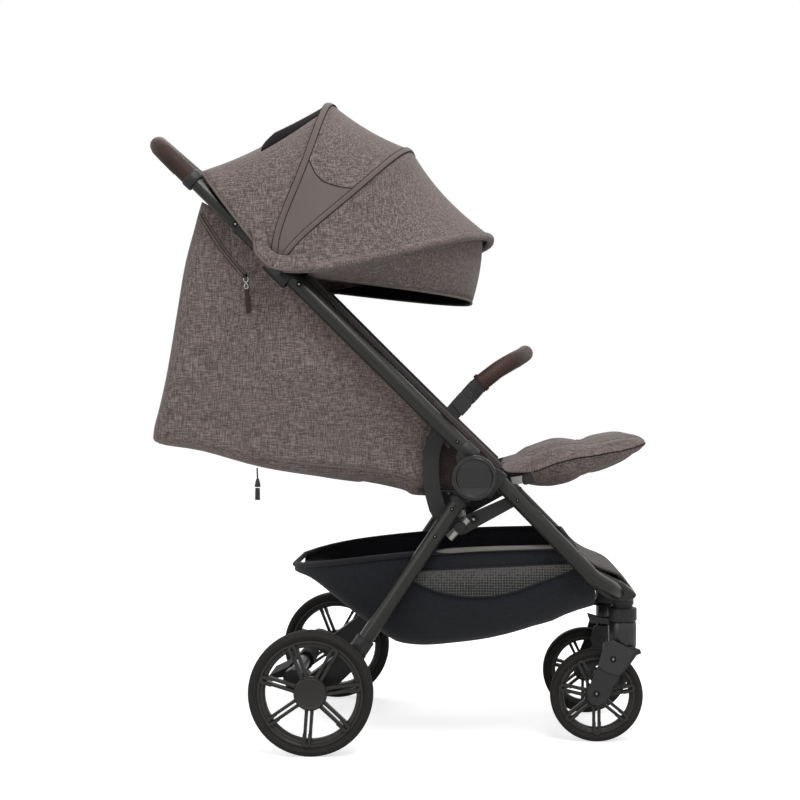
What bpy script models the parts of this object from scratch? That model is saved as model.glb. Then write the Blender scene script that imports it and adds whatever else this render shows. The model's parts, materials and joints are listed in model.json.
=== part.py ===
"""Compact stroller, in metres. +X is the way it rolls, +Z is up, and the floor is z = 0."""
import bpy
import bmesh
from math import atan2, cos, degrees, pi, radians, sin
from mathutils import Matrix, Vector

# Gaps
GAP = 0.0003
RUN = 0.0005

# Widths, from the seat out to the tubes
SEAT_HALF = 0.156
SEAT_CLEAR = 0.010
BRACKET_WALL = 0.014
RAIL_WALL = 0.0125
RAIL_CLEAR = 0.0035
LEG_R = 0.012
BRACKET_INNER = SEAT_HALF + SEAT_CLEAR
BRACKET_OUTER = BRACKET_INNER + BRACKET_WALL
RAIL_OUTER = BRACKET_OUTER + RAIL_WALL
TUBE_Y = RAIL_OUTER + RAIL_CLEAR + LEG_R
LEG_REST_HALF = SEAT_HALF - 0.006
BACK_PAD_HALF = SEAT_HALF - 0.014
BASKET_HALF = TUBE_Y - 0.0168
TREAD_HALF = TUBE_Y - 0.036
EYE_SPREAD = 0.0125

# Wheels
REAR_WHEEL_R = 0.095
REAR_WHEEL_WIDTH = 0.032
REAR_AXLE_X = -0.138
REAR_WHEEL_Y = TUBE_Y + 0.034
FRONT_WHEEL_R = 0.073
FRONT_WHEEL_WIDTH = 0.026
CASTER_X = 0.344
CASTER_Y = 0.1175
CASTER_TRAIL = 0.041
TYRE_BAND = 0.013
RIM_BAND = 0.014
RIM_RELIEF = 0.003
SPOKE_PAIRS = 7
SPOKE_WIDTH = 0.004
SPOKE_SLOT = 0.0045
SPOKE_DEPTH = 0.012
HUB_CAP_SHARE = 0.27
AXLE_R = 0.005
WHEEL_STEPS = 16

# Frame tubes
UPPER_R = 0.0125
HANDLE_R = 0.0105
GRIP_R = 0.014
HUB_X = 0.111
HUB_Z = 0.421
UPPER_ANGLE = 135.3
UPPER_OFFSET = 0.0135
UPPER_START = 0.050
UPPER_END = 0.527
HANDLE_REACH = 0.7195
HANDLE_BEND = 0.060
HANDLE_SLIDE = 0.090
HANDLE_OVERLAP = 0.070
GRIP_SIDE = 0.0845
GRIP_START = HANDLE_REACH - GRIP_SIDE
RELEASE_WIDTH = 0.060
FRONT_ANGLE = -45.6
FRONT_OFFSET = 0.022
FRONT_START = 0.030
FRONT_STRAIGHT = 0.222
REAR_ANGLE = -124.0
REAR_START = 0.055
REAR_END = 0.345

# Fold joint
EYE_R = 0.020
PIN_R = 0.006
COVER_R = 0.034
COVER_DEPTH = 0.011
UPPER_EYE = (TUBE_Y + 0.0015, TUBE_Y + 0.0125)
REAR_EYE = (TUBE_Y - 0.0120, TUBE_Y + 0.0008)
FRONT_EYE = (TUBE_Y + 0.0133, TUBE_Y + 0.0238)

# Rear crossing
CROSS_BACK = 0.030
CROSS_UP = 0.017
CROSS_R = 0.011
HOUSING_INNER = TUBE_Y - 0.018
HOUSING_OUTER = TUBE_Y + 0.014

# Front casting and casters
BAR_X = 0.338
BAR_Z = 0.236
BAR_R = 0.0146
BAR_HALF = CASTER_Y + 0.0215
SOCKET_R = 0.0205
SOCKET_LOW = 0.1525
SOCKET_HIGH = 0.2165
STEM_R = 0.006
STEM_TOP = 0.195
FORK_CHEEK = 0.0055
ARM_CHEEK = 0.0045
ARM_PIVOT = (0.330, 0.129)

# Seat
CROSS_TUBE = (0.088, 0.343)
CROSS_TUBE_R = 0.0085
LEG_HINGE = (0.170, 0.430)
ROD_R = 0.005

# Arm bar
ARM_ANGLE = 46.0
ARM_BAR_R = 0.013
ARM_CORE_R = 0.008
ARM_STUB = 0.030

# Canopy
PIVOT_BACK = 0.0907
PIVOT_ASIDE = -0.0006
BOW_R = 0.0035
BOW_EYE_R = 0.010
BOW_NAMES = ("main_bow", "mid_bow", "front_bow")
BOW_Y = (TUBE_Y + 0.0190, TUBE_Y + 0.0265, TUBE_Y + 0.0340)
BOWS = (
    (74.9, 0.2841, BOW_Y[0], 4.5, 22.0),
    (45.9, 0.2835, BOW_Y[1], 4.5, 21.0),
    (13.2, 0.3320, BOW_Y[2], 2.7, -13.0),
)
BOW_CLEAR = 0.0005
PANEL_START = 0.17
PANEL_STEPS = 6
REAR_EDGE = (128.3, 0.2066, TUBE_Y + 0.0182, 5.5, 3.2)
FLAP_EDGE = (-9.3, 0.298, TUBE_Y + 0.0190, 3.0, 0.0)
SAGS = (0.008, 0.004, 0.011)
CLOTH = 0.002

HUB = Vector((HUB_X, 0, HUB_Z))
RISE = Vector((cos(pi / 4), 0, sin(pi / 4)))
UPPER_WAY = Vector((cos(radians(UPPER_ANGLE)), 0, sin(radians(UPPER_ANGLE))))
PIVOT = HUB + RISE * (UPPER_OFFSET + PIVOT_ASIDE) + UPPER_WAY * (UPPER_END - PIVOT_BACK)


def start_scene():
    for thing in list(bpy.data.objects):
        bpy.data.objects.remove(thing, do_unlink=True)
    for name in ("compact_stroller", "cutters"):
        if name not in bpy.data.collections:
            bpy.context.scene.collection.children.link(bpy.data.collections.new(name))


def finish_of(name, colour, roughness, metallic=0.0):
    made = bpy.data.materials.new(name)
    made.use_nodes = True
    shader = made.node_tree.nodes["Principled BSDF"]
    shader.inputs["Base Color"].default_value = (*colour, 1.0)
    shader.inputs["Roughness"].default_value = roughness
    shader.inputs["Metallic"].default_value = metallic
    made.diffuse_color = (*colour, 1.0)
    return made


def place(thing, finish=None, cutter=False):
    home = bpy.data.collections["cutters" if cutter else "compact_stroller"]
    home.objects.link(thing)
    if cutter:
        thing.hide_render = True
        thing.display_type = "WIRE"
    if finish:
        thing.data.materials.clear()
        thing.data.materials.append(finish)
    return thing


def mesh_object(name, mesh_maker, finish=None, cutter=False):
    mesh = bpy.data.meshes.new(name)
    shape = bmesh.new()
    mesh_maker(shape)
    bmesh.ops.recalc_face_normals(shape, faces=shape.faces)
    shape.to_mesh(mesh)
    shape.free()
    mesh.shade_smooth()
    mesh.set_sharp_from_angle(angle=radians(35))
    return place(bpy.data.objects.new(name, mesh), finish, cutter)


def curve_object(name, points, radius, finish=None, closed=False, sides=2, caps=True, cutter=False):
    """A round tube along a POLY spline. sides 2 gives 12 sides, and 1 gives 8."""
    curve = bpy.data.curves.new(name, "CURVE")
    curve.dimensions = "3D"
    spline = curve.splines.new("POLY")
    spline.points.add(len(points) - 1)
    for spot, co in zip(spline.points, points):
        spot.co = (*co, 1.0)
    spline.use_cyclic_u = closed
    curve.bevel_depth = radius
    curve.bevel_resolution = sides
    curve.use_fill_caps = caps
    return place(bpy.data.objects.new(name, curve), finish, cutter)


def meshed(thing):
    """The same piece as a mesh with its caps welded, so that it can be cut or joined."""
    bpy.context.view_layer.update()
    mesh = bpy.data.meshes.new_from_object(thing.evaluated_get(bpy.context.evaluated_depsgraph_get()))
    shape = bmesh.new()
    shape.from_mesh(mesh)
    bmesh.ops.remove_doubles(shape, verts=shape.verts, dist=0.00001)
    bmesh.ops.recalc_face_normals(shape, faces=shape.faces)
    shape.to_mesh(mesh)
    shape.free()
    mesh.shade_smooth()
    mesh.set_sharp_from_angle(angle=radians(35))
    name = thing.name
    cutter = thing.hide_render
    finish = thing.data.materials[0] if thing.data.materials else None
    world = thing.matrix_world.copy()
    bpy.data.objects.remove(thing, do_unlink=True)
    made = place(bpy.data.objects.new(name, mesh), finish, cutter)
    made.matrix_world = world
    return made


def boolean(target, tool, operation):
    tool.hide_render = True
    tool.display_type = "WIRE"
    step = target.modifiers.new(operation.lower(), "BOOLEAN")
    step.operation = operation
    step.solver = "EXACT"
    step.object = tool
    return target


def cut(target, tool):
    return boolean(target, tool, "DIFFERENCE")


def fuse(target, tool):
    return boolean(target, tool, "UNION")


def cylinder(name, start, end, radius, finish=None, cutter=False, segments=16, radius_end=None):
    start, end = Vector(start), Vector(end)
    way = end - start
    tip = radius if radius_end is None else radius_end

    def make(shape):
        turn = Vector((0, 0, 1)).rotation_difference(way).to_matrix().to_4x4()
        bmesh.ops.create_cone(shape, cap_ends=True, segments=segments, radius1=radius, radius2=tip,
                              depth=way.length, matrix=Matrix.Translation((start + end) / 2) @ turn)
    return mesh_object(name, make, finish, cutter)


def block(name, low, high, finish=None, cutter=False, turn=0.0, about=None, round_edge=0.0):
    """A box from low to high, turned by degrees in the side view about a point (x, z)."""
    low, high = Vector(low), Vector(high)

    def make(shape):
        size = high - low
        made = Matrix.Translation((low + high) / 2) @ Matrix.Diagonal((*size, 1))
        bmesh.ops.create_cube(shape, size=1.0, matrix=made)
        if round_edge:
            bmesh.ops.bevel(shape, geom=list(shape.edges), offset=round_edge, segments=2, profile=0.5,
                            affect="EDGES")
        if turn:
            hub = Vector((about[0], 0, about[1]))
            spin = Matrix.Translation(hub) @ Matrix.Rotation(radians(-turn), 4,
                                                             "Y") @ Matrix.Translation(-hub)
            bmesh.ops.transform(shape, matrix=spin, verts=shape.verts)
    return mesh_object(name, make, finish, cutter)


def plate(name, outline, y_low, y_high, finish=None, cutter=False, soften=0.0):
    """A flat outline of (x, z) points, as thick as y_low to y_high."""
    curve = bpy.data.curves.new(name, "CURVE")
    curve.dimensions = "2D"
    curve.fill_mode = "BOTH"
    curve.extrude = (y_high - y_low) / 2
    spline = curve.splines.new("POLY")
    spline.points.add(len(outline) - 1)
    for spot, (x, z) in zip(spline.points, outline):
        spot.co = (x, z, 0, 1)
    spline.use_cyclic_u = True
    made = place(bpy.data.objects.new(name, curve), finish, cutter)
    made.matrix_world = Matrix.Translation((0, (y_low + y_high) / 2, 0)) @ Matrix.Rotation(pi / 2, 4, "X")
    made = meshed(made)
    if soften:
        edge = made.modifiers.new("edge", "BEVEL")
        edge.width = soften
        edge.segments = 2
        edge.limit_method = "ANGLE"
        edge.angle_limit = radians(50)
    return made


def arc(centre, radius, first, last, steps):
    """Points (x, z) round a centre, from one angle in degrees to another."""
    turns = [radians(first + (last - first) * k / steps) for k in range(steps + 1)]
    return [(centre[0] + radius * cos(t), centre[1] + radius * sin(t)) for t in turns]


def link_outline(first, first_r, second, second_r, steps=5):
    """Two round ends joined by their outer tangents, for an arm with an eye at each end."""
    along = Vector(second) - Vector(first)
    lean = radians(90) + (0 if first_r == second_r else -((first_r - second_r) / along.length))
    way = atan2(along.y, along.x)
    top = (way + lean) * 180 / pi
    low = (way - lean) * 180 / pi
    return arc(first, first_r, top, low + 360, steps) + arc(second, second_r, low, top, steps)


def smooth(points, steps=6):
    """A Catmull-Rom curve through the points."""
    spots = [Vector(p) for p in points]
    spots = [spots[0] * 2 - spots[1]] + spots + [spots[-1] * 2 - spots[-2]]
    route = []
    for a, b, c, d in zip(spots, spots[1:], spots[2:], spots[3:]):
        for k in range(steps):
            t = k / steps
            route.append(0.5 * (2 * b + (c - a) * t + (2 * a - 5 * b + 4 * c - d) * t * t
                                + (3 * b - a - 3 * c + d) * t ** 3))
    return route + [spots[-2]]


def band(points, width, steps=4):
    """The outline of a strip of even width along a smooth line of (x, z) points."""
    line = smooth(points, steps)
    left, right = [], []
    for k, spot in enumerate(line):
        way = (line[min(k + 1, len(line) - 1)] - line[max(k - 1, 0)]).normalized()
        side = Vector((-way.y, way.x)) * width / 2
        left.append(tuple(spot + side))
        right.append(tuple(spot - side))
    return left + right[::-1]


def turned(name, profile, centre, finish=None, cutter=False, steps=WHEEL_STEPS):
    """A ring or disc turned about a line along Y: profile points are (radius, y), closed, from -y to +y."""
    mesh = bpy.data.meshes.new(name)
    shape = bmesh.new()
    spots = [shape.verts.new((r, 0, -y)) for r, y in profile]
    on_axis = profile[0][0] < 1e-6 and profile[-1][0] < 1e-6
    for a, b in zip(spots, spots[1:]):
        shape.edges.new((a, b))
    if not on_axis:
        shape.edges.new((spots[-1], spots[0]))
    shape.to_mesh(mesh)
    shape.free()
    made = place(bpy.data.objects.new(name, mesh), finish, cutter)
    made.matrix_world = Matrix.Translation(centre) @ Matrix.Rotation(pi / 2, 4, "X")
    spin = made.modifiers.new("turn", "SCREW")
    spin.steps = steps
    spin.render_steps = steps
    spin.use_merge_vertices = True
    spin.merge_threshold = 0.00001
    spin.use_smooth_shade = True
    return meshed(made)


def loft(name, rows, finish, thickness=0.0, offset=0.0, closed=False, capped=False):
    """Faces between rows of points; an open sheet gets a thickness, and a closed loft gets end caps."""
    def make(shape):
        grid = [[shape.verts.new(p) for p in row] for row in rows]
        for near, far in zip(grid, grid[1:]):
            span = len(near) if closed else len(near) - 1
            for k in range(span):
                n = (k + 1) % len(near)
                shape.faces.new((near[k], near[n], far[n], far[k]))
        if capped:
            shape.faces.new(grid[0])
            shape.faces.new(grid[-1][::-1])
    made = mesh_object(name, make, finish)
    if thickness:
        wall = made.modifiers.new("wall", "SOLIDIFY")
        wall.thickness = thickness
        wall.offset = offset
        wall.use_even_offset = True
    return made


def sides():
    """Left is +Y and right is -Y, seen by someone pushing."""
    return (("left", 1), ("right", -1))


def layer(side, inner, outer):
    return sorted((side * inner, side * outer))


def line_point(angle, offset, reach, side, y=TUBE_Y):
    """A point on a leg's or upper tube's line: reach along it from the foot of the pin."""
    t = radians(angle)
    return HUB + RISE * offset + Vector((cos(t), 0, sin(t))) * reach + Vector((0, side * y, 0))


def flat(spot):
    return (spot.x, spot.z)


def make_wheel(name, centre, radius, width, outward, bore, look):
    """A tyre, and a rim whose spokes stand in close pairs. outward is the side of the cap."""
    seat = radius - TYRE_BAND
    tread = [(seat, -0.36), (radius - 0.55 * TYRE_BAND, -0.5), (radius - 0.15 * TYRE_BAND, -0.36),
             (radius, -0.12), (radius, 0.12), (radius - 0.15 * TYRE_BAND, 0.36),
             (radius - 0.55 * TYRE_BAND, 0.5), (seat, 0.36)]
    turned(name + "_tyre", [(r, share * width) for r, share in tread], centre, look["tyre"])
    lip = seat - RIM_BAND
    cap = HUB_CAP_SHARE * radius
    ring = [(lip + RIM_RELIEF, -0.36 * width), (seat - GAP, -0.36 * width), (seat - GAP, 0.36 * width),
            (lip + RIM_RELIEF, 0.36 * width), (lip, 0.25 * width), (lip, -0.25 * width)]
    rim = turned(name + "_rim", ring, centre, look["wheel"])
    depth = 0.46 * width
    face = 0.40 * width
    boss = [(0, -depth), (cap * 0.62, -depth), (cap * 0.7, -0.25 * width), (cap * 0.97, -0.21 * width),
            (cap, face * 0.8), (cap * 0.9, face), (0, face)]
    if outward < 0:
        boss = [(r, -y) for r, y in boss[::-1]]
    hub = turned(name + "_boss", boss, centre, cutter=True, steps=12)
    middle = outward * 0.12 * width

    def spokes(shape):
        foot = 0.82 * cap
        length = lip + 0.5 * RIM_BAND - foot
        for pair in range(SPOKE_PAIRS):
            spin = Matrix.Rotation(2 * pi * pair / SPOKE_PAIRS, 4, "Y")
            for shift in (-1, 1):
                spot = Vector((shift * (SPOKE_WIDTH + SPOKE_SLOT) / 2, middle, -(foot + length / 2)))
                size = Matrix.Diagonal((SPOKE_WIDTH, SPOKE_DEPTH, length, 1))
                bmesh.ops.create_cube(shape, size=1.0, matrix=Matrix.Translation(centre) @ spin
                                      @ Matrix.Translation(spot) @ size)
    bars = mesh_object(name + "_bars", spokes, cutter=True)
    fuse(fuse(rim, bars), hub)
    start = Vector(centre) - Vector((0, outward * width, 0))
    if bore[1]:
        end = Vector(centre) + Vector((0, outward * width, 0))
    else:
        end = Vector(centre) + Vector((0, outward * 0.28 * width, 0))
    cut(rim, cylinder(name + "_bore", start, end, bore[0] + GAP, cutter=True, segments=12))


def rear_wheels(look):
    for name, side in sides():
        centre = (REAR_AXLE_X, side * REAR_WHEEL_Y, REAR_WHEEL_R)
        make_wheel("rear_wheel_" + name, centre, REAR_WHEEL_R, REAR_WHEEL_WIDTH, side, (AXLE_R, False), look)


def front_wheels(look):
    for name, side in sides():
        centre = (CASTER_X - CASTER_TRAIL, side * CASTER_Y, FRONT_WHEEL_R)
        make_wheel("front_wheel_" + name, centre, FRONT_WHEEL_R, FRONT_WHEEL_WIDTH, side, (AXLE_R * 0.8,
                                                                                           True),
                   look)


def tube_line(angle, offset, first, last, side):
    return [line_point(angle, offset, first, side), line_point(angle, offset, last, side)]


def upper_tubes(look):
    """Each upper tube has a blind bore, in which the handle's end slides."""
    for name, side in sides():
        tube = cylinder("upper_tube_" + name, *tube_line(UPPER_ANGLE, UPPER_OFFSET, UPPER_START, UPPER_END,
                                                         side),
                        UPPER_R, look["tube"], segments=16)
        spots = tube_line(UPPER_ANGLE, UPPER_OFFSET, bore_foot(), UPPER_END + 0.01, side)
        bore = cylinder("upper_bore_" + name, *spots, sleeve_bore(HANDLE_R), cutter=True, segments=12)
        cut(tube, bore)


def bore_foot():
    """Where the bore ends: below the handle's end by its slide, and a little more."""
    return UPPER_END - HANDLE_OVERLAP - HANDLE_SLIDE - 0.008


def upper_knuckles(look):
    for name, side in sides():
        low, high = layer(side, *UPPER_EYE)
        eye = flat(HUB)
        near = flat(line_point(UPPER_ANGLE, UPPER_OFFSET, 0.040, side))
        arm = plate("upper_knuckle_" + name, link_outline(eye, EYE_R, near, 0.012), low, high,
                    look["plastic"])
        sleeve = cylinder("upper_sleeve_" + name, *tube_line(UPPER_ANGLE, UPPER_OFFSET, 0.034, 0.088, side),
                          UPPER_R + 0.0025, cutter=True, segments=16)
        inner, outer = layer(side, TUBE_Y - EYE_SPREAD, TUBE_Y + EYE_SPREAD)
        trim = block("upper_trim_" + name, (-0.3, inner, 0), (0.3, outer, 0.8), cutter=True)
        boolean(sleeve, trim, "INTERSECT")
        fuse(arm, sleeve)
        cut(arm, cylinder("upper_socket_" + name, *tube_line(UPPER_ANGLE, UPPER_OFFSET, UPPER_START - GAP,
                                                             0.12,
                                                             side), UPPER_R + GAP, cutter=True, segments=16))
        cut(arm, cylinder("upper_pin_hole_" + name, HUB + Vector((0, side * (TUBE_Y - 0.02), 0)),
                          HUB + Vector((0, side * (TUBE_Y + 0.03),
                                        0)), PIN_R + GAP, cutter=True, segments=12))


def rear_knuckles(look):
    for name, side in sides():
        low, high = layer(side, *REAR_EYE)
        near = flat(line_point(REAR_ANGLE, 0, 0.046, side))
        arm = plate("rear_knuckle_" + name, link_outline(flat(HUB), EYE_R, near, 0.012), low, high,
                    look["plastic"])
        sleeve = cylinder("rear_sleeve_" + name, *tube_line(REAR_ANGLE, 0, 0.042, 0.088, side),
                          LEG_R + 0.0025, cutter=True, segments=16)
        inner, outer = layer(side, TUBE_Y - EYE_SPREAD, TUBE_Y + EYE_SPREAD)
        trim = block("rear_trim_" + name, (-0.3, inner, 0), (0.3, outer, 0.8), cutter=True)
        boolean(sleeve, trim, "INTERSECT")
        fuse(arm, sleeve)
        cut(arm, cylinder("rear_socket_" + name, *tube_line(REAR_ANGLE, 0, REAR_START - GAP, 0.12, side),
                          LEG_R + GAP, cutter=True, segments=16))
        cut(arm, cylinder("rear_pin_hole_" + name, HUB + Vector((0, side * (TUBE_Y - 0.02), 0)),
                          HUB + Vector((0, side * (TUBE_Y + 0.03),
                                        0)), PIN_R + GAP, cutter=True, segments=12))


def front_knuckles(look):
    """The outer plate of the fold joint, with the pin through all three eyes and the front leg's sleeve."""
    for name, side in sides():
        low, high = layer(side, *FRONT_EYE)
        near = flat(line_point(FRONT_ANGLE, FRONT_OFFSET, 0.040, side))
        body = plate("front_knuckle_" + name, link_outline(flat(HUB), COVER_R - 0.003, near, 0.0155), low,
                     high,
                     look["plastic"])
        sleeve = cylinder("front_sleeve_" + name, *tube_line(FRONT_ANGLE, FRONT_OFFSET, 0.024, 0.064, side),
                          LEG_R + 0.003, cutter=True, segments=16)
        fuse(body, sleeve)
        cut(body, cylinder("front_socket_" + name, *tube_line(FRONT_ANGLE, FRONT_OFFSET, FRONT_START - GAP,
                                                              0.1,
                                                              side), LEG_R + GAP, cutter=True, segments=16))
        spots = [HUB + Vector((0, side * (TUBE_Y + y), 0)) for y in (-0.0152, -0.0150, -0.0125, 0.0220)]
        fuse(body, cylinder("hub_pin_" + name, spots[1], spots[3], PIN_R, cutter=True, segments=12))
        fuse(body, cylinder("hub_pin_head_" + name, spots[0], spots[2], PIN_R + 0.003, cutter=True,
                            segments=12))


def hub_covers(look):
    start = FRONT_EYE[1] + GAP
    end = start + COVER_DEPTH
    face = [(0, start), (COVER_R, start), (COVER_R, end - 0.003), (COVER_R - 0.003, end), (COVER_R - 0.007,
                                                                                           end),
            (COVER_R - 0.0085, end - 0.0015), (0, end - 0.0015)]
    for name, side in sides():
        profile = face if side > 0 else [(r, -y) for r, y in face[::-1]]
        turned("hub_cover_" + name, profile, HUB, look["gloss"], steps=20)


def front_legs(look):
    """Straight down from the sleeve, then turned in to meet the front casting."""
    for name, side in sides():
        top = line_point(FRONT_ANGLE, FRONT_OFFSET, FRONT_START, side)
        knee = line_point(FRONT_ANGLE, FRONT_OFFSET, FRONT_STRAIGHT, side)
        way = (knee - top).normalized()
        spread = TUBE_Y - BAR_HALF
        bend = smooth([knee, knee + way * 0.016 + Vector((0, -side * 0.004, 0)),
                       Vector((0.318, side * (BAR_HALF + 0.681 * spread), 0.2505)),
                       Vector((0.333, side * (BAR_HALF + 0.304 * spread), 0.2395)),
                       Vector((BAR_X, side * (BAR_HALF + 0.010), BAR_Z)),
                       Vector((BAR_X, side * (BAR_HALF - 0.008), BAR_Z))], 3)
        curve_object("front_leg_" + name, [top] + bend, LEG_R, look["tube"], sides=2)


def front_casting(look):
    """The beam between the legs' feet, with a caster socket under each end."""
    ends = [Vector((BAR_X, y, BAR_Z)) for y in (-BAR_HALF, BAR_HALF)]
    bar = cylinder("front_casting", *ends, BAR_R, look["plastic"], segments=14)
    for name, side in sides():
        fuse(bar, caster_socket(name, side))
        mouth = Vector((BAR_X, side * (BAR_HALF + 0.01), BAR_Z))
        cut(bar, cylinder("casting_bore_" + name, mouth, mouth - Vector((0, side * 0.0185, 0)),
                          LEG_R + 2 * GAP,
                          cutter=True, segments=12))
        axis = Vector((CASTER_X, side * CASTER_Y, 0))
        cut(bar, cylinder("stem_bore_" + name, axis + Vector((0, 0, 0.14)), axis + Vector((0, 0,
                                                                                           STEM_TOP + 0.001)),
                          STEM_R + GAP, cutter=True, segments=12))


def caster_socket(name, side):
    profile = [(0, SOCKET_HIGH + 0.010), (0.018, SOCKET_HIGH + 0.010), (0.018, SOCKET_HIGH), (0.0165,
                                                                                              SOCKET_HIGH),
               (0.0165, 0.2085), (SOCKET_R + 0.001, 0.2075), (SOCKET_R + 0.001, 0.1900), (SOCKET_R - 0.0005,
                                                                                          0.1895),
               (SOCKET_R - 0.001, SOCKET_LOW), (0, SOCKET_LOW)]
    mesh = bpy.data.meshes.new("profile")
    shape = bmesh.new()
    spots = [shape.verts.new((r, 0, z)) for r, z in profile]
    for a, b in zip(spots, spots[1:]):
        shape.edges.new((a, b))
    shape.to_mesh(mesh)
    shape.free()
    post = place(bpy.data.objects.new("caster_socket_" + name, mesh), cutter=True)
    post.matrix_world = Matrix.Translation((CASTER_X, side * CASTER_Y, 0))
    spin = post.modifiers.new("turn", "SCREW")
    spin.steps = 16
    spin.render_steps = 16
    spin.use_merge_vertices = True
    spin.merge_threshold = 0.00001
    return meshed(post)


def footboard(look):
    """A curved tread between the front legs, resting on the casting."""
    top = smooth([Vector((0.280, 0.307)), Vector((0.304, 0.293)), Vector((0.330, 0.2725)),
                  Vector((0.353, 0.249)), Vector((0.374, 0.222))], 4)
    rows = []
    for k, spot in enumerate(top):
        way = (top[min(k + 1, len(top) - 1)] - top[max(k - 1, 0)]).normalized()
        under = spot - Vector((-way.y, way.x)) * 0.005
        half = TREAD_HALF - 0.060 * (k / (len(top) - 1)) ** 2.2
        rim = [(half - 0.010, spot), (half, spot * 0.5 + under * 0.5), (half - 0.004, under)]
        row = [Vector((p.x, y, p.y)) for y, p in rim]
        rows.append(row + [Vector((p.x, -p.y, p.z)) for p in row[::-1]])
    loft("footboard", rows, look["tread"], closed=True, capped=True)


def casters(look):
    """A swivelling fork, and below it a short sprung arm that holds the wheel."""
    half = FRONT_WHEEL_WIDTH / 2 + 0.002
    inner = (half, half + ARM_CHEEK)
    outer = (inner[1] + RUN, inner[1] + RUN + FORK_CHEEK)
    axle = (CASTER_X - CASTER_TRAIL, FRONT_WHEEL_R)
    for name, side in sides():
        y = side * CASTER_Y
        body = cylinder("caster_body_" + name, (CASTER_X, y, 0.1465), (CASTER_X, y, SOCKET_LOW - RUN), 0.0185,
                        look["plastic"], segments=16)
        fuse(body, cylinder("stem_" + name, (CASTER_X, y, 0.148), (CASTER_X, y, STEM_TOP), STEM_R,
                            cutter=True,
                            segments=12))
        cheek = [(0.317, 0.1518), (0.3625, 0.1518), (0.3655, 0.141), (0.349, 0.118), (0.341, 0.1145),
                 (0.324, 0.1145), (0.313, 0.121), (0.309, 0.130)]
        for sign in (-1, 1):
            low, high = sorted((y + sign * outer[0], y + sign * outer[1]))
            fuse(body, plate("fork_%s_%d" % (name, sign), cheek, low, high, cutter=True))
        fuse(body, block("fork_bridge_" + name, (0.352, y - outer[1], 0.1465), (0.3625, y + outer[1], 0.1518),
                         cutter=True))
        fuse(body, block("fork_crown_" + name, (0.330, y - outer[1], 0.1475), (0.3625, y + outer[1], 0.1518),
                         cutter=True))
        cut(body, cylinder("arm_bore_" + name, (ARM_PIVOT[0], y - 0.05, ARM_PIVOT[1]),
                           (ARM_PIVOT[0], y + 0.05, ARM_PIVOT[1]), 0.0043, cutter=True, segments=12))
        arm = plate("caster_arm_" + name, link_outline(axle, 0.0095, ARM_PIVOT, 0.0085, 5), y + inner[0],
                    y + inner[1], look["plastic"])
        fuse(arm, plate("arm_far_" + name, link_outline(axle, 0.0095, ARM_PIVOT, 0.0085, 5), y - inner[1],
                        y - inner[0], cutter=True))
        fuse(arm, cylinder("front_axle_" + name, (axle[0], y - inner[1] - 0.001, axle[1]),
                           (axle[0], y + inner[1] + 0.001, axle[1]), AXLE_R * 0.8, cutter=True, segments=12))
        for sign in (-1, 1):
            fuse(arm, cylinder("arm_pin_%s_%d" % (name, sign), (ARM_PIVOT[0], y + sign * inner[0],
                                                                ARM_PIVOT[1]),
                               (ARM_PIVOT[0], y + sign * (outer[1] + 0.001),
                                ARM_PIVOT[1]), 0.004, cutter=True,
                               segments=12))


def rear_legs(look):
    for name, side in sides():
        cylinder("rear_leg_" + name, *tube_line(REAR_ANGLE, 0, REAR_START, REAR_END, side), LEG_R,
                 look["tube"],
                 segments=16)


def axle_housings(look):
    axle = (REAR_AXLE_X, REAR_WHEEL_R)
    cross = (REAR_AXLE_X - CROSS_BACK, REAR_WHEEL_R + CROSS_UP)
    foot = flat(line_point(REAR_ANGLE, 0, 0.325, 1))
    for name, side in sides():
        low, high = layer(side, HOUSING_INNER, HOUSING_OUTER)
        body = plate("axle_housing_" + name, link_outline(axle, 0.021, foot, 0.0155, 6), low, high,
                     look["plastic"])
        fuse(body, plate("cross_lug_" + name, link_outline(cross, 0.015, axle, 0.019, 5), low, high,
                         cutter=True))
        sleeve = tube_line(REAR_ANGLE, 0, 0.300, 0.335, side)
        fuse(body, cylinder("leg_sleeve_" + name, *sleeve, LEG_R + 0.0028, cutter=True, segments=16))
        cut(body, cylinder("leg_socket_" + name, *tube_line(REAR_ANGLE, 0, 0.28, REAR_END + GAP, side),
                           LEG_R + GAP,
                           cutter=True, segments=16))
        fuse(body, cylinder("stub_" + name, (axle[0], side * (TUBE_Y - 0.002), axle[1]),
                            (axle[0], side * (REAR_WHEEL_Y + 0.26 * REAR_WHEEL_WIDTH), axle[1]), AXLE_R,
                            cutter=True, segments=12))
    ends = [Vector((cross[0], y, cross[1])) for y in (-HOUSING_INNER + GAP, HOUSING_INNER - GAP)]
    cylinder("rear_cross_tube", *ends, CROSS_R, look["tube"], segments=16)


def brake_pedal(look):
    cross = (REAR_AXLE_X - CROSS_BACK, REAR_WHEEL_R + CROSS_UP)
    outline = arc(cross, CROSS_R + 0.005, 90, -60, 8) + [(cross[0] - 0.020, cross[1] - 0.026),
                                                         (cross[0] - 0.055, cross[1] - 0.030),
                                                         (cross[0] - 0.058, cross[1] - 0.025),
                                                         (cross[0] - 0.026, cross[1] - 0.010)]
    pedal = plate("brake_pedal", outline, -0.048, 0.048, look["plastic"])
    cut(pedal, cylinder("pedal_bore", (cross[0], -0.06, cross[1]), (cross[0], 0.06, cross[1]), CROSS_R + GAP,
                        cutter=True, segments=16))


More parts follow.
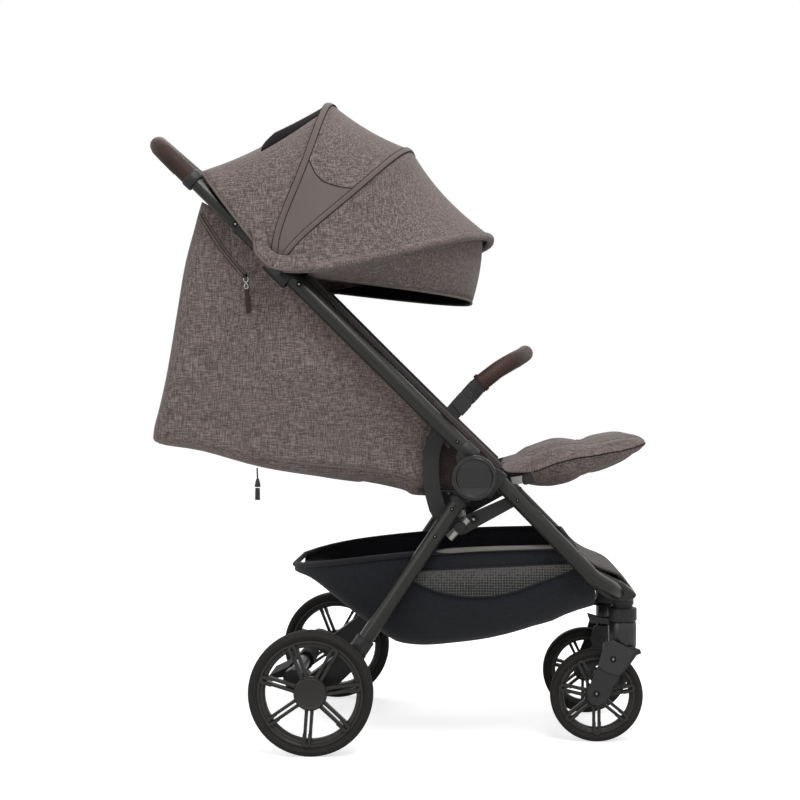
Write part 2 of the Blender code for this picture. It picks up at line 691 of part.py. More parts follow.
def seat_frame(look):
    """Flat rails from the front legs back to a cross tube, joined by the rod that the leg rest hangs on."""
    front = flat(line_point(FRONT_ANGLE, FRONT_OFFSET, 0.070, 1))
    frame = cylinder("seat_frame", (LEG_HINGE[0], -RAIL_OUTER + 0.002, LEG_HINGE[1]),
                     (LEG_HINGE[0], RAIL_OUTER - 0.002, LEG_HINGE[1]), ROD_R, look["plastic"], segments=12)
    for name, side in sides():
        low, high = layer(side, BRACKET_OUTER + 0.0008, RAIL_OUTER)
        fuse(frame, plate("rail_" + name, link_outline(CROSS_TUBE, 0.0125, front, 0.0085), low, high,
                          cutter=True))
        fuse(frame, plate("ear_" + name, link_outline(front, 0.0085, LEG_HINGE, 0.0105, 6), low, high,
                          cutter=True))
        pin = [Vector((front[0], side * y, front[1])) for y in (RAIL_OUTER - 0.002, TUBE_Y - LEG_R - GAP)]
        fuse(frame, cylinder("rail_pin_" + name, *pin, 0.005, cutter=True, segments=12))
        cut(frame, cylinder("rail_bore_" + name, (CROSS_TUBE[0], side * (BRACKET_OUTER - 0.01),
                                                  CROSS_TUBE[1]),
                            (CROSS_TUBE[0], side * (RAIL_OUTER + 0.01), CROSS_TUBE[1]), CROSS_TUBE_R + GAP,
                            cutter=True, segments=12))
    cylinder("seat_cross_tube", (CROSS_TUBE[0], -RAIL_OUTER - 0.001, CROSS_TUBE[1]),
             (CROSS_TUBE[0], RAIL_OUTER + 0.001, CROSS_TUBE[1]), CROSS_TUBE_R, look["silver"], segments=12)


def socket_line():
    """The mouth of an arm bar socket and the direction in which the bar lifts out, in the side view."""
    way = Vector((cos(radians(ARM_ANGLE)), sin(radians(ARM_ANGLE))))
    return Vector((0.099, 0.5425)), way


def arm_brackets(look):
    """Crescents inside the tubes, from the cross tube up to the arm bar's sockets."""
    mouth, way = socket_line()
    route = [CROSS_TUBE, (0.060, 0.357), (0.0465, 0.392), (0.0425, 0.443), (0.053, 0.487),
             tuple(mouth - way * 0.028),
             tuple(mouth)]
    for name, side in sides():
        low, high = layer(side, BRACKET_INNER, BRACKET_OUTER)
        body = plate("arm_bracket_" + name, band(route, 0.025, 2), low, high, look["plastic"])
        fuse(body, plate("bracket_foot_" + name, arc(CROSS_TUBE, 0.0125, 0, 324, 9), low, high, cutter=True))
        cut(body, cylinder("foot_bore_" + name, (CROSS_TUBE[0], side * (BRACKET_INNER - 0.01), CROSS_TUBE[1]),
                           (CROSS_TUBE[0], side * (BRACKET_OUTER + 0.01), CROSS_TUBE[1]), CROSS_TUBE_R + GAP,
                           cutter=True, segments=12))
        tip = mouth + way * 0.01
        foot = mouth - way * (ARM_STUB + 0.002)
        middle = side * (BRACKET_INNER + BRACKET_OUTER) / 2
        cut(body, cylinder("socket_bore_" + name, (foot.x, middle, foot.y), (tip.x, middle, tip.y),
                           0.0045 + GAP,
                           cutter=True, segments=12))


def sleeve_bore(core):
    """The corner radius of a twelve-sided bore whose flats clear a round core."""
    return (core + GAP) / cos(pi / 12)


def arm_bar_route():
    mouth, way = socket_line()
    middle = (BRACKET_INNER + BRACKET_OUTER) / 2
    start = mouth + way * 0.004
    half = [Vector((start.x, middle, start.y)), Vector((start.x + way.x * 0.025, middle,
                                                        start.y + way.y * 0.025)),
            Vector((0.140, middle * 0.988, 0.5815)), Vector((0.160, middle * 0.925, 0.5965)),
            Vector((0.178, middle * 0.786, 0.6070)), Vector((0.192, middle * 0.566, 0.6130)),
            Vector((0.200, middle * 0.289, 0.6160)), Vector((0.202, 0, 0.6170))]
    return half + [Vector((p.x, -p.y, p.z)) for p in half[-2::-1]]


def arm_bar(look):
    """A U-shaped core with a stub in each socket, and a padded sleeve round its middle."""
    route = arm_bar_route()
    mouth, way = socket_line()
    core = meshed(curve_object("arm_bar", route, ARM_CORE_R, look["plastic"], sides=1))
    for name, side in sides():
        y = route[0].y * side
        foot = mouth - way * ARM_STUB
        head = mouth + way * 0.012
        fuse(core, cylinder("stub_pin_" + name, (foot.x, y, foot.y), (head.x, y, head.y), 0.0045, cutter=True,
                            segments=12))
        for reach, far, radius, tag in ((0.0006, 0.030, 0.0125, "cup"), (0.034, 0.040, 0.0115, "neck")):
            low, high = mouth + way * reach, mouth + way * far
            fuse(core, cylinder("%s_%s" % (tag, name), (low.x, y, low.y), (high.x, y, high.y), radius,
                                cutter=True, segments=12))
    first = 2
    sleeve = route[first:-first]
    grip = meshed(curve_object("arm_bar_grip", sleeve, ARM_BAR_R, look["leather"]))
    hollow = meshed(curve_object("arm_bar_hollow", route[first - 1:1 - first],
                                 (ARM_CORE_R + GAP) / cos(pi / 8), cutter=True, sides=1))
    cut(grip, hollow)


def handle_route():
    """The handle's line from the right tube, round the back, to the left tube, with its distances along."""
    half = []
    corner = HANDLE_REACH - HANDLE_BEND
    for reach in (UPPER_END - HANDLE_OVERLAP, UPPER_END, GRIP_START):
        half.append(line_point(UPPER_ANGLE, UPPER_OFFSET, reach, -1))
    for k in range(6):
        t = pi / 2 * k / 5
        spot = line_point(UPPER_ANGLE, UPPER_OFFSET, corner + HANDLE_BEND * sin(t), -1)
        half.append(spot + Vector((0, HANDLE_BEND * (1 - cos(t)), 0)))
    half.append(Vector((half[-1].x, -RELEASE_WIDTH / 2, half[-1].z)))
    return half + [Vector((p.x, -p.y, p.z)) for p in half[::-1]]


def handle(look):
    route = handle_route()
    curve_object("handle_bar", route, HANDLE_R, look["tube"], sides=2)
    outer = meshed(curve_object("handle_grip", route[2:-2], GRIP_R, look["leather"], sides=2))
    ends = [[line_point(UPPER_ANGLE, UPPER_OFFSET, GRIP_START - 0.02, side)] for side in (-1, 1)]
    cut(outer, meshed(curve_object("grip_core", ends[0] + route[3:-3] + ends[1], sleeve_bore(HANDLE_R),
                                   cutter=True)))
    release(look)


def release(look):
    """A housing on the inner side of the grip, with the button that frees the fold."""
    middle = line_point(UPPER_ANGLE, UPPER_OFFSET, HANDLE_REACH, 0)
    way = Vector((cos(radians(UPPER_ANGLE)), 0, sin(radians(UPPER_ANGLE))))
    turn = UPPER_ANGLE - 180
    near, far = 0.006, 0.027
    half = Vector((0, RELEASE_WIDTH / 2, 0))
    low = middle + Vector((near, 0, -0.012)) - half
    high = middle + Vector((far, 0, 0.012)) + half
    housing = block("release_housing", low, high, look["plastic"], turn=turn, about=flat(middle),
                    round_edge=0.002)
    cut(housing, cylinder("release_seat", middle - half * 1.2, middle + half * 1.2, GRIP_R + GAP, cutter=True,
                          segments=16))
    pocket = [middle + Vector((0.0195, -0.0175, -0.0070)), middle + Vector((0.035, 0.0175, 0.0070))]
    cut(housing, block("release_pocket", *pocket, cutter=True, turn=turn, about=flat(middle)))
    button = [middle + Vector((0.0225, -0.0170, -0.0065)), middle + Vector((0.0290, 0.0170, 0.0065))]
    block("fold_button", *button, look["gloss"], turn=turn, about=flat(middle), round_edge=0.001)


def bow_point(bow, lift, turn=0.0):
    """A point on a bow, given as angle, reach, half width, roundness and the bend near its pivot.

    lift runs from 0 at one pivot to 1 at the crown, in the bow's own plane."""
    angle, reach, half, power, bend = bow
    t = radians(angle + bend * (1 - lift) ** 2 + turn)
    r = reach * lift
    y = half * (1 - lift ** power) ** (1 / power)
    return Vector((PIVOT.x + r * cos(t), y, PIVOT.z + r * sin(t)))


def bow_lifts(first, steps):
    """Shares of the reach, spaced so that points are even round the bend of the bow."""
    return [first + (1 - first) * sin(pi / 2 * k / steps) for k in range(steps + 1)]


def whole(half):
    return [Vector((p.x, -p.y, p.z)) for p in half] + half[-2::-1]


def canopy_bows(look):
    for name, bow in zip(BOW_NAMES, BOWS):
        line = whole([bow_point(bow, lift) for lift in (0.02, *bow_lifts(PANEL_START, PANEL_STEPS))])
        wire = meshed(curve_object(name, line, BOW_R, look["plastic"], sides=1))
        for tag, side in sides():
            low, high = side * (bow[2] - BOW_R), side * (bow[2] + BOW_R)
            eye = cylinder("%s_eye_%s" % (name, tag), (PIVOT.x, low, PIVOT.z), (PIVOT.x, high, PIVOT.z),
                           BOW_EYE_R,
                           cutter=True, segments=12)
            fuse(wire, eye)
            cut(wire, cylinder("%s_hole_%s" % (name, tag), (PIVOT.x, side * (bow[2] - 0.02), PIVOT.z),
                               (PIVOT.x, side * (bow[2] + 0.02), PIVOT.z), 0.0043, cutter=True, segments=12))


def canopy_mounts(look):
    """A clamp on each upper tube, with the pin that all three bows turn on."""
    reach = UPPER_END - PIVOT_BACK
    for name, side in sides():
        tube = tube_line(UPPER_ANGLE, UPPER_OFFSET, reach - 0.022, reach + 0.022, side)
        clamp = cylinder("canopy_mount_" + name, *tube, UPPER_R + 0.0033, look["plastic"], segments=16)
        inner, outer = layer(side, TUBE_Y - EYE_SPREAD, BOW_Y[0] - BOW_R - RUN)
        trim = block("clamp_trim_" + name, (-0.4, inner, 0.5), (0.2, outer, 1.0), cutter=True)
        boolean(clamp, trim, "INTERSECT")
        bore = tube_line(UPPER_ANGLE, UPPER_OFFSET, reach - 0.05, reach + 0.05, side)
        cut(clamp, cylinder("clamp_bore_" + name, *bore, UPPER_R + GAP, cutter=True, segments=16))
        spots = [Vector((PIVOT.x, side * y, PIVOT.z)) for y in (TUBE_Y + 0.0135, BOW_Y[2] + BOW_R + 0.0012)]
        fuse(clamp, cylinder("canopy_pin_" + name, *spots, 0.004, cutter=True, segments=12))
        head = [Vector((PIVOT.x, side * y, PIVOT.z)) for y in (BOW_Y[2] + BOW_R + RUN,
                                                               BOW_Y[2] + BOW_R + 0.003)]
        fuse(clamp, cylinder("canopy_head_" + name, *head, 0.009, cutter=True, segments=12))


def canopy_panel(name, upper, lower, look, inset=(True, True), first=PANEL_START, sag=0.010):
    """Cloth stretched straight from one bow to the next, and drawn in a little between them."""
    across = 3
    lifts = bow_lifts(first, PANEL_STEPS)
    edges = []
    for bow, inner, way in ((upper, inset[0], -1), (lower, inset[1], 1)):
        turns = [way * degrees((BOW_R + BOW_CLEAR) / (bow[1] * lift)) if inner else 0.0 for lift in lifts]
        edges.append([bow_point(bow, lift, turn) for lift, turn in zip(lifts, turns)])
    rows = []
    for k in range(across + 1):
        v = k / across
        draw = sag * 4 * v * (1 - v)
        row = []
        for lift, near, far in zip(lifts, *edges):
            spot = near.lerp(far, v)
            out = Vector((spot.x - PIVOT.x, 0, spot.z - PIVOT.z)).normalized()
            row.append(spot - out * draw * lift - Vector((0, 0.4 * draw * min(1, spot.y / 0.05), 0)))
        rows.append(whole(row))
    loft(name, rows, look["fabric"], CLOTH)


def canopy(look):
    canopy_panel("canopy_rear_panel", REAR_EDGE, BOWS[0], look, inset=(False, True), sag=SAGS[0])
    canopy_panel("canopy_middle_panel", BOWS[0], BOWS[1], look, sag=SAGS[1])
    canopy_panel("canopy_front_panel", BOWS[1], BOWS[2], look, sag=SAGS[2])
    canopy_panel("canopy_flap", BOWS[2], FLAP_EDGE, look, inset=(True, False), first=0.30, sag=0.0)


def shell_outline():
    """The shell's lower and rear edge in the side view, from the seat to the canopy."""
    return [Vector(p) for p in ((0.012, 0.392), (-0.060, 0.404), (-0.131, 0.413), (-0.225, 0.433), (-0.319,
                                                                                                    0.458),
                                (-0.372, 0.468), (-0.388, 0.492), (-0.379, 0.530), (-0.367, 0.586), (-0.351,
                                                                                                     0.680),
                                (-0.339, 0.754), (-0.321, 0.821), (-0.312, 0.850))]


def back_shell(look):
    """An open fabric shell hung between the upper tubes, deep at the seat's back and shallow at the top."""
    outline = smooth(shell_outline(), 1)
    rows = []
    last = len(outline) - 1
    for k, low in enumerate(outline):
        share = k / last
        reach = 0.065 + (0.548 - 0.065) * share
        top = line_point(UPPER_ANGLE, UPPER_OFFSET, reach, 0)
        inner = BRACKET_INNER - 0.0025 + 0.0305 * min(1, max(0, (reach - 0.110) / 0.05))
        half = BRACKET_INNER - 0.0045 + 0.0165 * min(1, share * 2.5)
        corner = 0.030
        drop = Vector((low.x - top.x, low.y - top.z))
        depth = drop.length
        way = drop / max(depth, 1e-6)
        steps = [(0, inner), (0.25, inner * 0.35 + half * 0.65), (0.62, half)]
        side = [(depth * share_down, y) for share_down, y in steps]
        bend = min(corner, depth * 0.3)
        for t in (0, 45, 90):
            side.append((depth - bend + bend * sin(radians(t)), half - bend + bend * cos(radians(t))))
        side.append((depth, half * 0.45))
        row = [Vector((top.x + way.x * d, y, top.z + way.y * d)) for d, y in side]
        middle = Vector((top.x + drop.x, 0, top.z + drop.y))
        rows.append([Vector((p.x, -p.y, p.z)) for p in row] + [middle] + row[::-1])
    loft("back_shell", rows, look["fabric"], 0.003)


def pad(name, outline, half, look, finish, stations=6, slope=0.0):
    """A cushion: a side outline whose edges draw in towards its sides, square to a slope."""
    centre = sum((Vector(p) for p in outline), Vector((0, 0))) / len(outline)
    rows = []
    for k in range(-stations, stations + 1):
        share = k / stations
        y = half * sin(pi / 2 * share)
        squeeze = (1 - abs(share) ** 3.5) ** 0.5 if abs(share) < 1 else 0.0
        squeeze = 0.55 + 0.45 * squeeze
        row = []
        for p in outline:
            spot = Vector(p)
            middle = centre.y + (spot.x - centre.x) * slope
            row.append(Vector((centre.x + (spot.x - centre.x) * (0.94 + 0.06 * squeeze), y,
                               middle + (spot.y - middle) * squeeze)))
        rows.append(row)
    return loft(name, rows, look[finish], closed=True, capped=True)


def seat_pad(look):
    top = [(0.146, 0.436), (0.120, 0.4415), (0.070, 0.436), (0.020, 0.429), (-0.020, 0.427), (-0.033, 0.421)]
    bottom = [(-0.035, 0.408), (0.000, 0.4035), (0.030, 0.3995), (0.125, 0.3995), (0.144, 0.410)]
    pad("seat_pad", top + bottom, SEAT_HALF, look, "fabric")
    block("seat_board", (0.022, -BRACKET_INNER + GAP, 0.3945), (0.138, BRACKET_INNER - GAP, 0.3990),
          look["plastic"])


def back_pad(look):
    """The cushion that the child leans on, laid on the shell's lower side."""
    under = [(-0.064, 0.4065), (-0.131, 0.4150), (-0.225, 0.4350), (-0.319, 0.4601), (-0.358, 0.4676)]
    over = [(-0.357, 0.4850), (-0.325, 0.4930), (-0.233, 0.4670), (-0.137, 0.4470), (-0.070, 0.4320)]
    pad("back_pad", under + over, BACK_PAD_HALF, look, "fabric", slope=-0.208)


def harness(look):
    """The buckle that stands on the seat, and the two shoulder straps that lie on the back cushion."""
    buckle = [(0.0280, 0.4306), (0.0660, 0.4359), (0.0610, 0.4640), (0.0350, 0.4605)]
    plate("harness_buckle", buckle, -0.024, 0.024, look["plastic"], soften=0.003)
    low = [(-0.300, 0.4867), (-0.233, 0.4675), (-0.137, 0.4475), (-0.090, 0.4372)]
    top = [(x + 0.0006, z + 0.0030) for x, z in low]
    straps = plate("shoulder_straps", low + top[::-1], -0.082, 0.082, look["webbing"])
    cut(straps, block("straps_gap", (-0.282, -0.047, 0.40), (-0.05, 0.047, 0.52), cutter=True))


def leg_rest(look):
    ring = arc(LEG_HINGE, 0.0175, 150, 262, 6)
    under = [(0.205, 0.4065), (0.243, 0.4110), (0.277, 0.4210), (0.322, 0.4385), (0.356, 0.4545), (0.380,
                                                                                                   0.4670)]
    over = [(0.3920, 0.4745), (0.376, 0.4810), (0.352, 0.4840), (0.310, 0.4795), (0.281, 0.4755), (0.250,
                                                                                                   0.4735),
            (0.205, 0.4610), (0.172, 0.4480)]
    made = pad("leg_rest", ring + under + over, LEG_REST_HALF, look, "fabric", stations=5)
    cut(made, cylinder("leg_rest_bore", (LEG_HINGE[0], -TUBE_Y, LEG_HINGE[1]), (LEG_HINGE[0], TUBE_Y,
                                                                                LEG_HINGE[1]),
                       ROD_R + GAP, cutter=True, segments=12))


def basket_station(x):
    """Half width, rim height and floor height of the basket at x."""
    rim = smooth([Vector((-0.181, 0.274)), Vector((-0.106, 0.287)), Vector((-0.007, 0.299)), Vector((0.100,
                                                                                                     0.308)),
                  Vector((0.217, 0.312)), Vector((0.250, 0.312))], 8)
    floor = smooth([Vector((-0.181, 0.262)), Vector((-0.150, 0.256)), Vector((-0.113, 0.232)),
                    Vector((-0.067, 0.197)), Vector((-0.015, 0.168)), Vector((0.029, 0.162)),
                    Vector((0.119, 0.171)), Vector((0.209, 0.194)), Vector((0.257, 0.222))], 8)

    def at(line, where):
        for a, b in zip(line, line[1:]):
            if a.x <= where <= b.x:
                return a.y + (b.y - a.y) * (where - a.x) / (b.x - a.x)
        return line[-1].y if where > line[-1].x else line[0].y
    back = min(1.0, (x + 0.186) / 0.16)
    half = BASKET_HALF * (1 - (1 - back) ** 3) ** 0.4
    return half, at(rim, x), at(floor, x)


def basket(look):
    """A fabric tub hung from a wire rim between the front and rear legs."""
    xs = [-0.179, -0.165, -0.140, -0.105, -0.065, -0.020, 0.040, 0.110, 0.180, 0.225, 0.250]
    rows = []
    for x in xs:
        half, rim, floor = basket_station(x)
        depth = rim - floor - 0.0040
        side = [(half - 0.001, 0.0), (half * 0.98, 0.35), (half * 0.94, 0.68), (half * 0.84, 0.90),
                (half * 0.62, 0.99)]
        row = [Vector((x, y, rim - 0.0040 - depth * share)) for y, share in side]
        middle = Vector((x, 0, rim - 0.0040 - depth))
        rows.append([Vector((p.x, -p.y, p.z)) for p in row] + [middle] + row[::-1])
    half, rim, floor = basket_station(xs[-1])
    for lean, lift in ((0.012, 0.4), (0.012, 1.0)):
        rows.append([Vector((xs[-1] + lean, p.y,
                             p.z + (rim - 0.0040 - p.z) * lift)) for p in rows[len(xs) - 1]])
    loft("basket", rows, look["basket"], 0.0025)
    line = []
    for x in xs:
        half, rim, floor = basket_station(x)
        line.append(Vector((x, half + 0.0002, rim)))
    front = Vector((xs[-1] + 0.014, BASKET_HALF - 0.0112, line[-1].z))
    loop = line + [front] + [Vector((p.x, -p.y, p.z)) for p in [front] + line[::-1]]
    curve_object("basket_rim", loop, 0.0038, look["plastic"], closed=True, sides=1, caps=False)


def looks():
    return {
        "tube": finish_of("charcoal_tube", (0.045, 0.042, 0.038), 0.38, 0.6),
        "plastic": finish_of("dark_plastic", (0.026, 0.026, 0.026), 0.55),
        "gloss": finish_of("gloss_plastic", (0.020, 0.020, 0.020), 0.28),
        "silver": finish_of("silver_tube", (0.50, 0.50, 0.52), 0.35, 0.9),
        "leather": finish_of("brown_leather", (0.060, 0.028, 0.020), 0.50),
        "fabric": finish_of("taupe_fabric", (0.160, 0.120, 0.107), 0.92),
        "basket": finish_of("basket_fabric", (0.013, 0.014, 0.017), 0.90),
        "webbing": finish_of("black_webbing", (0.014, 0.014, 0.015), 0.85),
        "tread": finish_of("brown_tread", (0.060, 0.045, 0.038), 0.70),
        "wheel": finish_of("wheel_plastic", (0.034, 0.032, 0.030), 0.50),
        "tyre": finish_of("tyre_rubber", (0.020, 0.019, 0.018), 0.80),
    }


def main():
    start_scene()
    look = looks()
    rear_wheels(look)
    front_wheels(look)
    upper_tubes(look)
    upper_knuckles(look)
    rear_knuckles(look)
    front_knuckles(look)
    hub_covers(look)
    front_legs(look)
    front_casting(look)
    footboard(look)
    casters(look)
    rear_legs(look)
    axle_housings(look)
    brake_pedal(look)
    seat_frame(look)
    arm_brackets(look)
    arm_bar(look)
    handle(look)
    canopy_bows(look)
    canopy_mounts(look)
    canopy(look)
    back_shell(look)
    seat_pad(look)
    back_pad(look)
    harness(look)
    leg_rest(look)
    basket(look)


main()
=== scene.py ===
import bpy
import bmesh
import json
from math import cos, degrees, pi, radians, sin, sqrt
from mathutils import Matrix, Vector, noise
from mathutils.bvhtree import BVHTree
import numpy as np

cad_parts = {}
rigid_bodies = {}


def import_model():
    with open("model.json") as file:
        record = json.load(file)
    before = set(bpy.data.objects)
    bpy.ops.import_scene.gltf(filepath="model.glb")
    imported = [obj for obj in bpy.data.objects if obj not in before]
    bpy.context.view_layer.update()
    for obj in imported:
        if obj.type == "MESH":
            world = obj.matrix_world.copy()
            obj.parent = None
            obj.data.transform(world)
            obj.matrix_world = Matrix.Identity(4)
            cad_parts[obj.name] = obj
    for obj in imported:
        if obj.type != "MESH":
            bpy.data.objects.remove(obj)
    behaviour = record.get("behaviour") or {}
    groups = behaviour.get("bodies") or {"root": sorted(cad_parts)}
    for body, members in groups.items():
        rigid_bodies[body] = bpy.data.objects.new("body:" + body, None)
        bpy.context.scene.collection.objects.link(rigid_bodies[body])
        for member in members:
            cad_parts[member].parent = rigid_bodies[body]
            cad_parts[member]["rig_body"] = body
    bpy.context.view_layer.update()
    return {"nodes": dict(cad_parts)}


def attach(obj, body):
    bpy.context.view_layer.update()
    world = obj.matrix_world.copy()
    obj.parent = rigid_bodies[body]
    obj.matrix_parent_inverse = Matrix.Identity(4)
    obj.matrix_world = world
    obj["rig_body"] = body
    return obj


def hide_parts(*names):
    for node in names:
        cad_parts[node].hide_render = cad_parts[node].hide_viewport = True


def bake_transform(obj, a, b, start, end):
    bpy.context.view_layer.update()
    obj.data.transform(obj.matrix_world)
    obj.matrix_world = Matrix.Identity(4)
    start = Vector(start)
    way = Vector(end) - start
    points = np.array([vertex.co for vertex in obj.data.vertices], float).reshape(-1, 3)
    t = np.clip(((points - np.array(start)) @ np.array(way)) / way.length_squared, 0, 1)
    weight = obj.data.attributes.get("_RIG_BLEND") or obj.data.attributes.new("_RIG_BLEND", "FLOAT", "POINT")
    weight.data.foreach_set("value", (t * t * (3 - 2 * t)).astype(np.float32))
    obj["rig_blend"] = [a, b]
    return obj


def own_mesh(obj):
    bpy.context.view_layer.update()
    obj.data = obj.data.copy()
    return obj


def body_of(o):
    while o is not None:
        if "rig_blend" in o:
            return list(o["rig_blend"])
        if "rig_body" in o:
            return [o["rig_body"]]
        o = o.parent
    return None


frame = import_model()

# Camera and light
cameraView = {"place": (0.0983, -2.6309, 0.5351), "turn": (90.093, 0.0, 2.418), "lens": 71.12}
light = {
    "world": 0.42, "floorGlow": 0.665, "floorTone": 0.8,
    "lamps": (("keyLamp", (0.7, -2.0, 2.9), 0.5, 1.5, 58.0), ("fillLamp", (-2.0, -2.2, 1.3), 0.5, 1.6, 11.0),
              ("topLamp", (0.9, -0.5, 3.2), 0.5, 1.2, 20.0), ("rimLamp", (-0.6, 2.2, 2.4), 0.7, 1.6, 22.0)),
}


def makeCamera():
    lens = bpy.data.cameras.new("camera")
    lens.lens = cameraView["lens"]
    lens.sensor_width = 36.0
    eye = newObject("camera", lens)
    eye.location = cameraView["place"]
    eye.rotation_euler = [radians(a) for a in cameraView["turn"]]
    bpy.context.scene.camera = eye


def makeLamp(name, place, target, size, power):
    lamp = bpy.data.lights.new(name, "AREA")
    lamp.size = size
    lamp.energy = power
    thing = newObject(name, lamp)
    thing.location = place
    thing.rotation_euler = (Vector(target) - Vector(place)).to_track_quat("-Z", "Y").to_euler()


def makeStage():
    scene = bpy.context.scene
    scene.view_settings.view_transform = "Standard"
    world = bpy.data.worlds.new("studio")
    world.use_nodes = True
    back = world.node_tree.nodes["Background"]
    back.inputs["Color"].default_value = (1, 1, 1, 1)
    ray = addNode(world, "ShaderNodeLightPath")
    seen = addNode(world, "ShaderNodeMath", operation="MAXIMUM")
    wire(world, ray, "Is Camera Ray", seen, 0)
    wire(world, ray, "Is Transmission Ray", seen, 1)
    white = addNode(world, "ShaderNodeMath", operation="MAXIMUM")
    wire(world, seen, 0, white, 0)
    wire(world, ray, "Is Glossy Ray", white, 1)
    strength = addNode(world, "ShaderNodeMapRange")
    strength.inputs["To Min"].default_value = light["world"]
    strength.inputs["To Max"].default_value = 1.0
    wire(world, white, 0, strength, "Value")
    wire(world, strength, 0, back, "Strength")
    scene.world = world
    for name, place, aim, size, power in light["lamps"]:
        makeLamp(name, place, (0, 0, aim), size, power)
    # the floor is lit for its shadow, and glows to the camera so that it stays white
    paint = newSkin("floorPaint", (light["floorTone"],) * 3, 0.9)
    shader = shaderOf(paint)
    shader.inputs["Emission Color"].default_value = (1, 1, 1, 1)
    ray = addNode(paint, "ShaderNodeLightPath")
    glow = addNode(paint, "ShaderNodeMath", operation="MULTIPLY")
    glow.inputs[1].default_value = light["floorGlow"]
    wire(paint, ray, "Is Camera Ray", glow, 0)
    wire(paint, glow, 0, shader, "Emission Strength")
    newMesh("floor", [(-20, -20, 0), (20, -20, 0), (20, 20, 0), (-20, 20, 0)], [(0, 1, 2, 3)],
                     paint)


# Mesh helpers
def newObject(name, data, skin=None, body=None):
    thing = bpy.data.objects.new(name, data)
    bpy.context.scene.collection.objects.link(thing)
    if skin:
        data.materials.append(skin)
    if body:
        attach(thing, body)
    return thing


def shade(thing, angle):
    thing.data.shade_smooth()
    thing.data.set_sharp_from_angle(angle=radians(angle))
    return thing


def bevel(thing, width, segments, angle):
    bend = thing.modifiers.new("edge", "BEVEL")
    bend.width = width
    bend.segments = segments
    bend.limit_method = "ANGLE"
    bend.angle_limit = radians(angle)


def soften(thing, levels):
    soft = thing.modifiers.new("soft", "SUBSURF")
    soft.levels = levels
    soft.render_levels = levels


def dress(thing, node):
    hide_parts(node)
    return thing


def newMesh(name, verts, faces, skin=None, angle=None):
    mesh = bpy.data.meshes.new(name)
    mesh.from_pydata([tuple(v) for v in verts], [], [tuple(f) for f in faces])
    mesh.validate()
    thing = newObject(name, mesh, skin)
    return shade(thing, angle) if angle else thing


def outward(thing, weld=0.0):
    shape = bmesh.new()
    shape.from_mesh(thing.data)
    if weld:
        bmesh.ops.remove_doubles(shape, verts=shape.verts, dist=weld)
    bmesh.ops.recalc_face_normals(shape, faces=shape.faces)
    shape.to_mesh(thing.data)
    shape.free()
    return thing


def gridMesh(name, rows, skin=None, body=None, ring=False, capped=False, thick=0.0, smoothing=0, angle=60):
    n = len(rows[0])
    faces = []
    for r in range(len(rows) - 1):
        for k in range(n if ring else n - 1):
            a, b = r * n + k, r * n + (k + 1) % n
            faces.append((a, b, b + n, a + n))
    if capped:
        faces.append(tuple(range(n))[::-1])
        faces.append(tuple(range((len(rows) - 1) * n, len(rows) * n)))
    thing = outward(newMesh(name, [p for row in rows for p in row], faces, skin, angle))
    if smoothing:
        soften(thing, smoothing)
    if thick:
        wall = thing.modifiers.new("wall", "SOLIDIFY")
        wall.thickness = thick
        wall.offset = 0.0
    if body:
        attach(thing, body)
    return thing


def built(thing):
    bpy.context.view_layer.update()
    return bpy.data.meshes.new_from_object(thing.evaluated_get(bpy.context.evaluated_depsgraph_get()))


def frozen(thing):
    mesh = built(thing)
    if thing.type == "MESH":
        old = thing.data
        thing.modifiers.clear()
        thing.data = mesh
        bpy.data.meshes.remove(old)
        return thing
    name = thing.name
    bpy.data.objects.remove(thing, do_unlink=True)
    return newObject(name, mesh)


def joined(name, things, skin=None, body=None):
    shape = bmesh.new()
    skins = []
    for thing in things:
        mesh = built(thing)
        mesh.transform(thing.matrix_world)
        first = len(shape.faces)
        shape.from_mesh(mesh)
        shape.faces.ensure_lookup_table()
        for face in shape.faces[first:]:
            own = mesh.materials[face.material_index] if mesh.materials else skin
            if own not in skins:
                skins.append(own)
            face.material_index = skins.index(own)
        bpy.data.objects.remove(thing, do_unlink=True)
    mesh = bpy.data.meshes.new(name)
    shape.to_mesh(mesh)
    shape.free()
    for own in skins:
        mesh.materials.append(own)
    return newObject(name, mesh, None, body)


def tube(name, points, radius, skin=None, body=None, closed=False, fine=6, radii=None):
    curve = bpy.data.curves.new(name, "CURVE")
    curve.dimensions = "3D"
    curve.bevel_depth = radius
    curve.bevel_resolution = fine
    curve.use_fill_caps = not closed
    line = curve.splines.new("POLY")
    line.points.add(len(points) - 1)
    for k, (spot, p) in enumerate(zip(line.points, points)):
        spot.co = (*p, 1.0)
        if radii:
            spot.radius = radii[k]
    line.use_cyclic_u = closed
    return newObject(name, curve, skin, body)


def flat(pairs):
    return [Vector((x, 0, z)) for x, z in pairs]


def rounded(points, steps=6):
    spots = [Vector(p) for p in points]
    spots = [spots[0] * 2 - spots[1]] + spots + [spots[-1] * 2 - spots[-2]]
    route = []
    for a, b, c, d in zip(spots, spots[1:], spots[2:], spots[3:]):
        for k in range(steps):
            t = k / steps
            route.append(0.5 * (2 * b + (c - a) * t + (2 * a - 5 * b + 4 * c - d) * t * t
                                + (3 * b - a - 3 * c + d) * t ** 3))
    return route + [spots[-2]]


def heightAt(points, x):
    for a, b in zip(points, points[1:]):
        if a.x <= x <= b.x:
            return a.z + (b.z - a.z) * (x - a.x) / (b.x - a.x)
    return points[-1].z if x > points[-1].x else points[0].z


def aheadAt(line, k):
    return (line[min(k + 1, len(line) - 1)] - line[max(k - 1, 0)]).normalized()


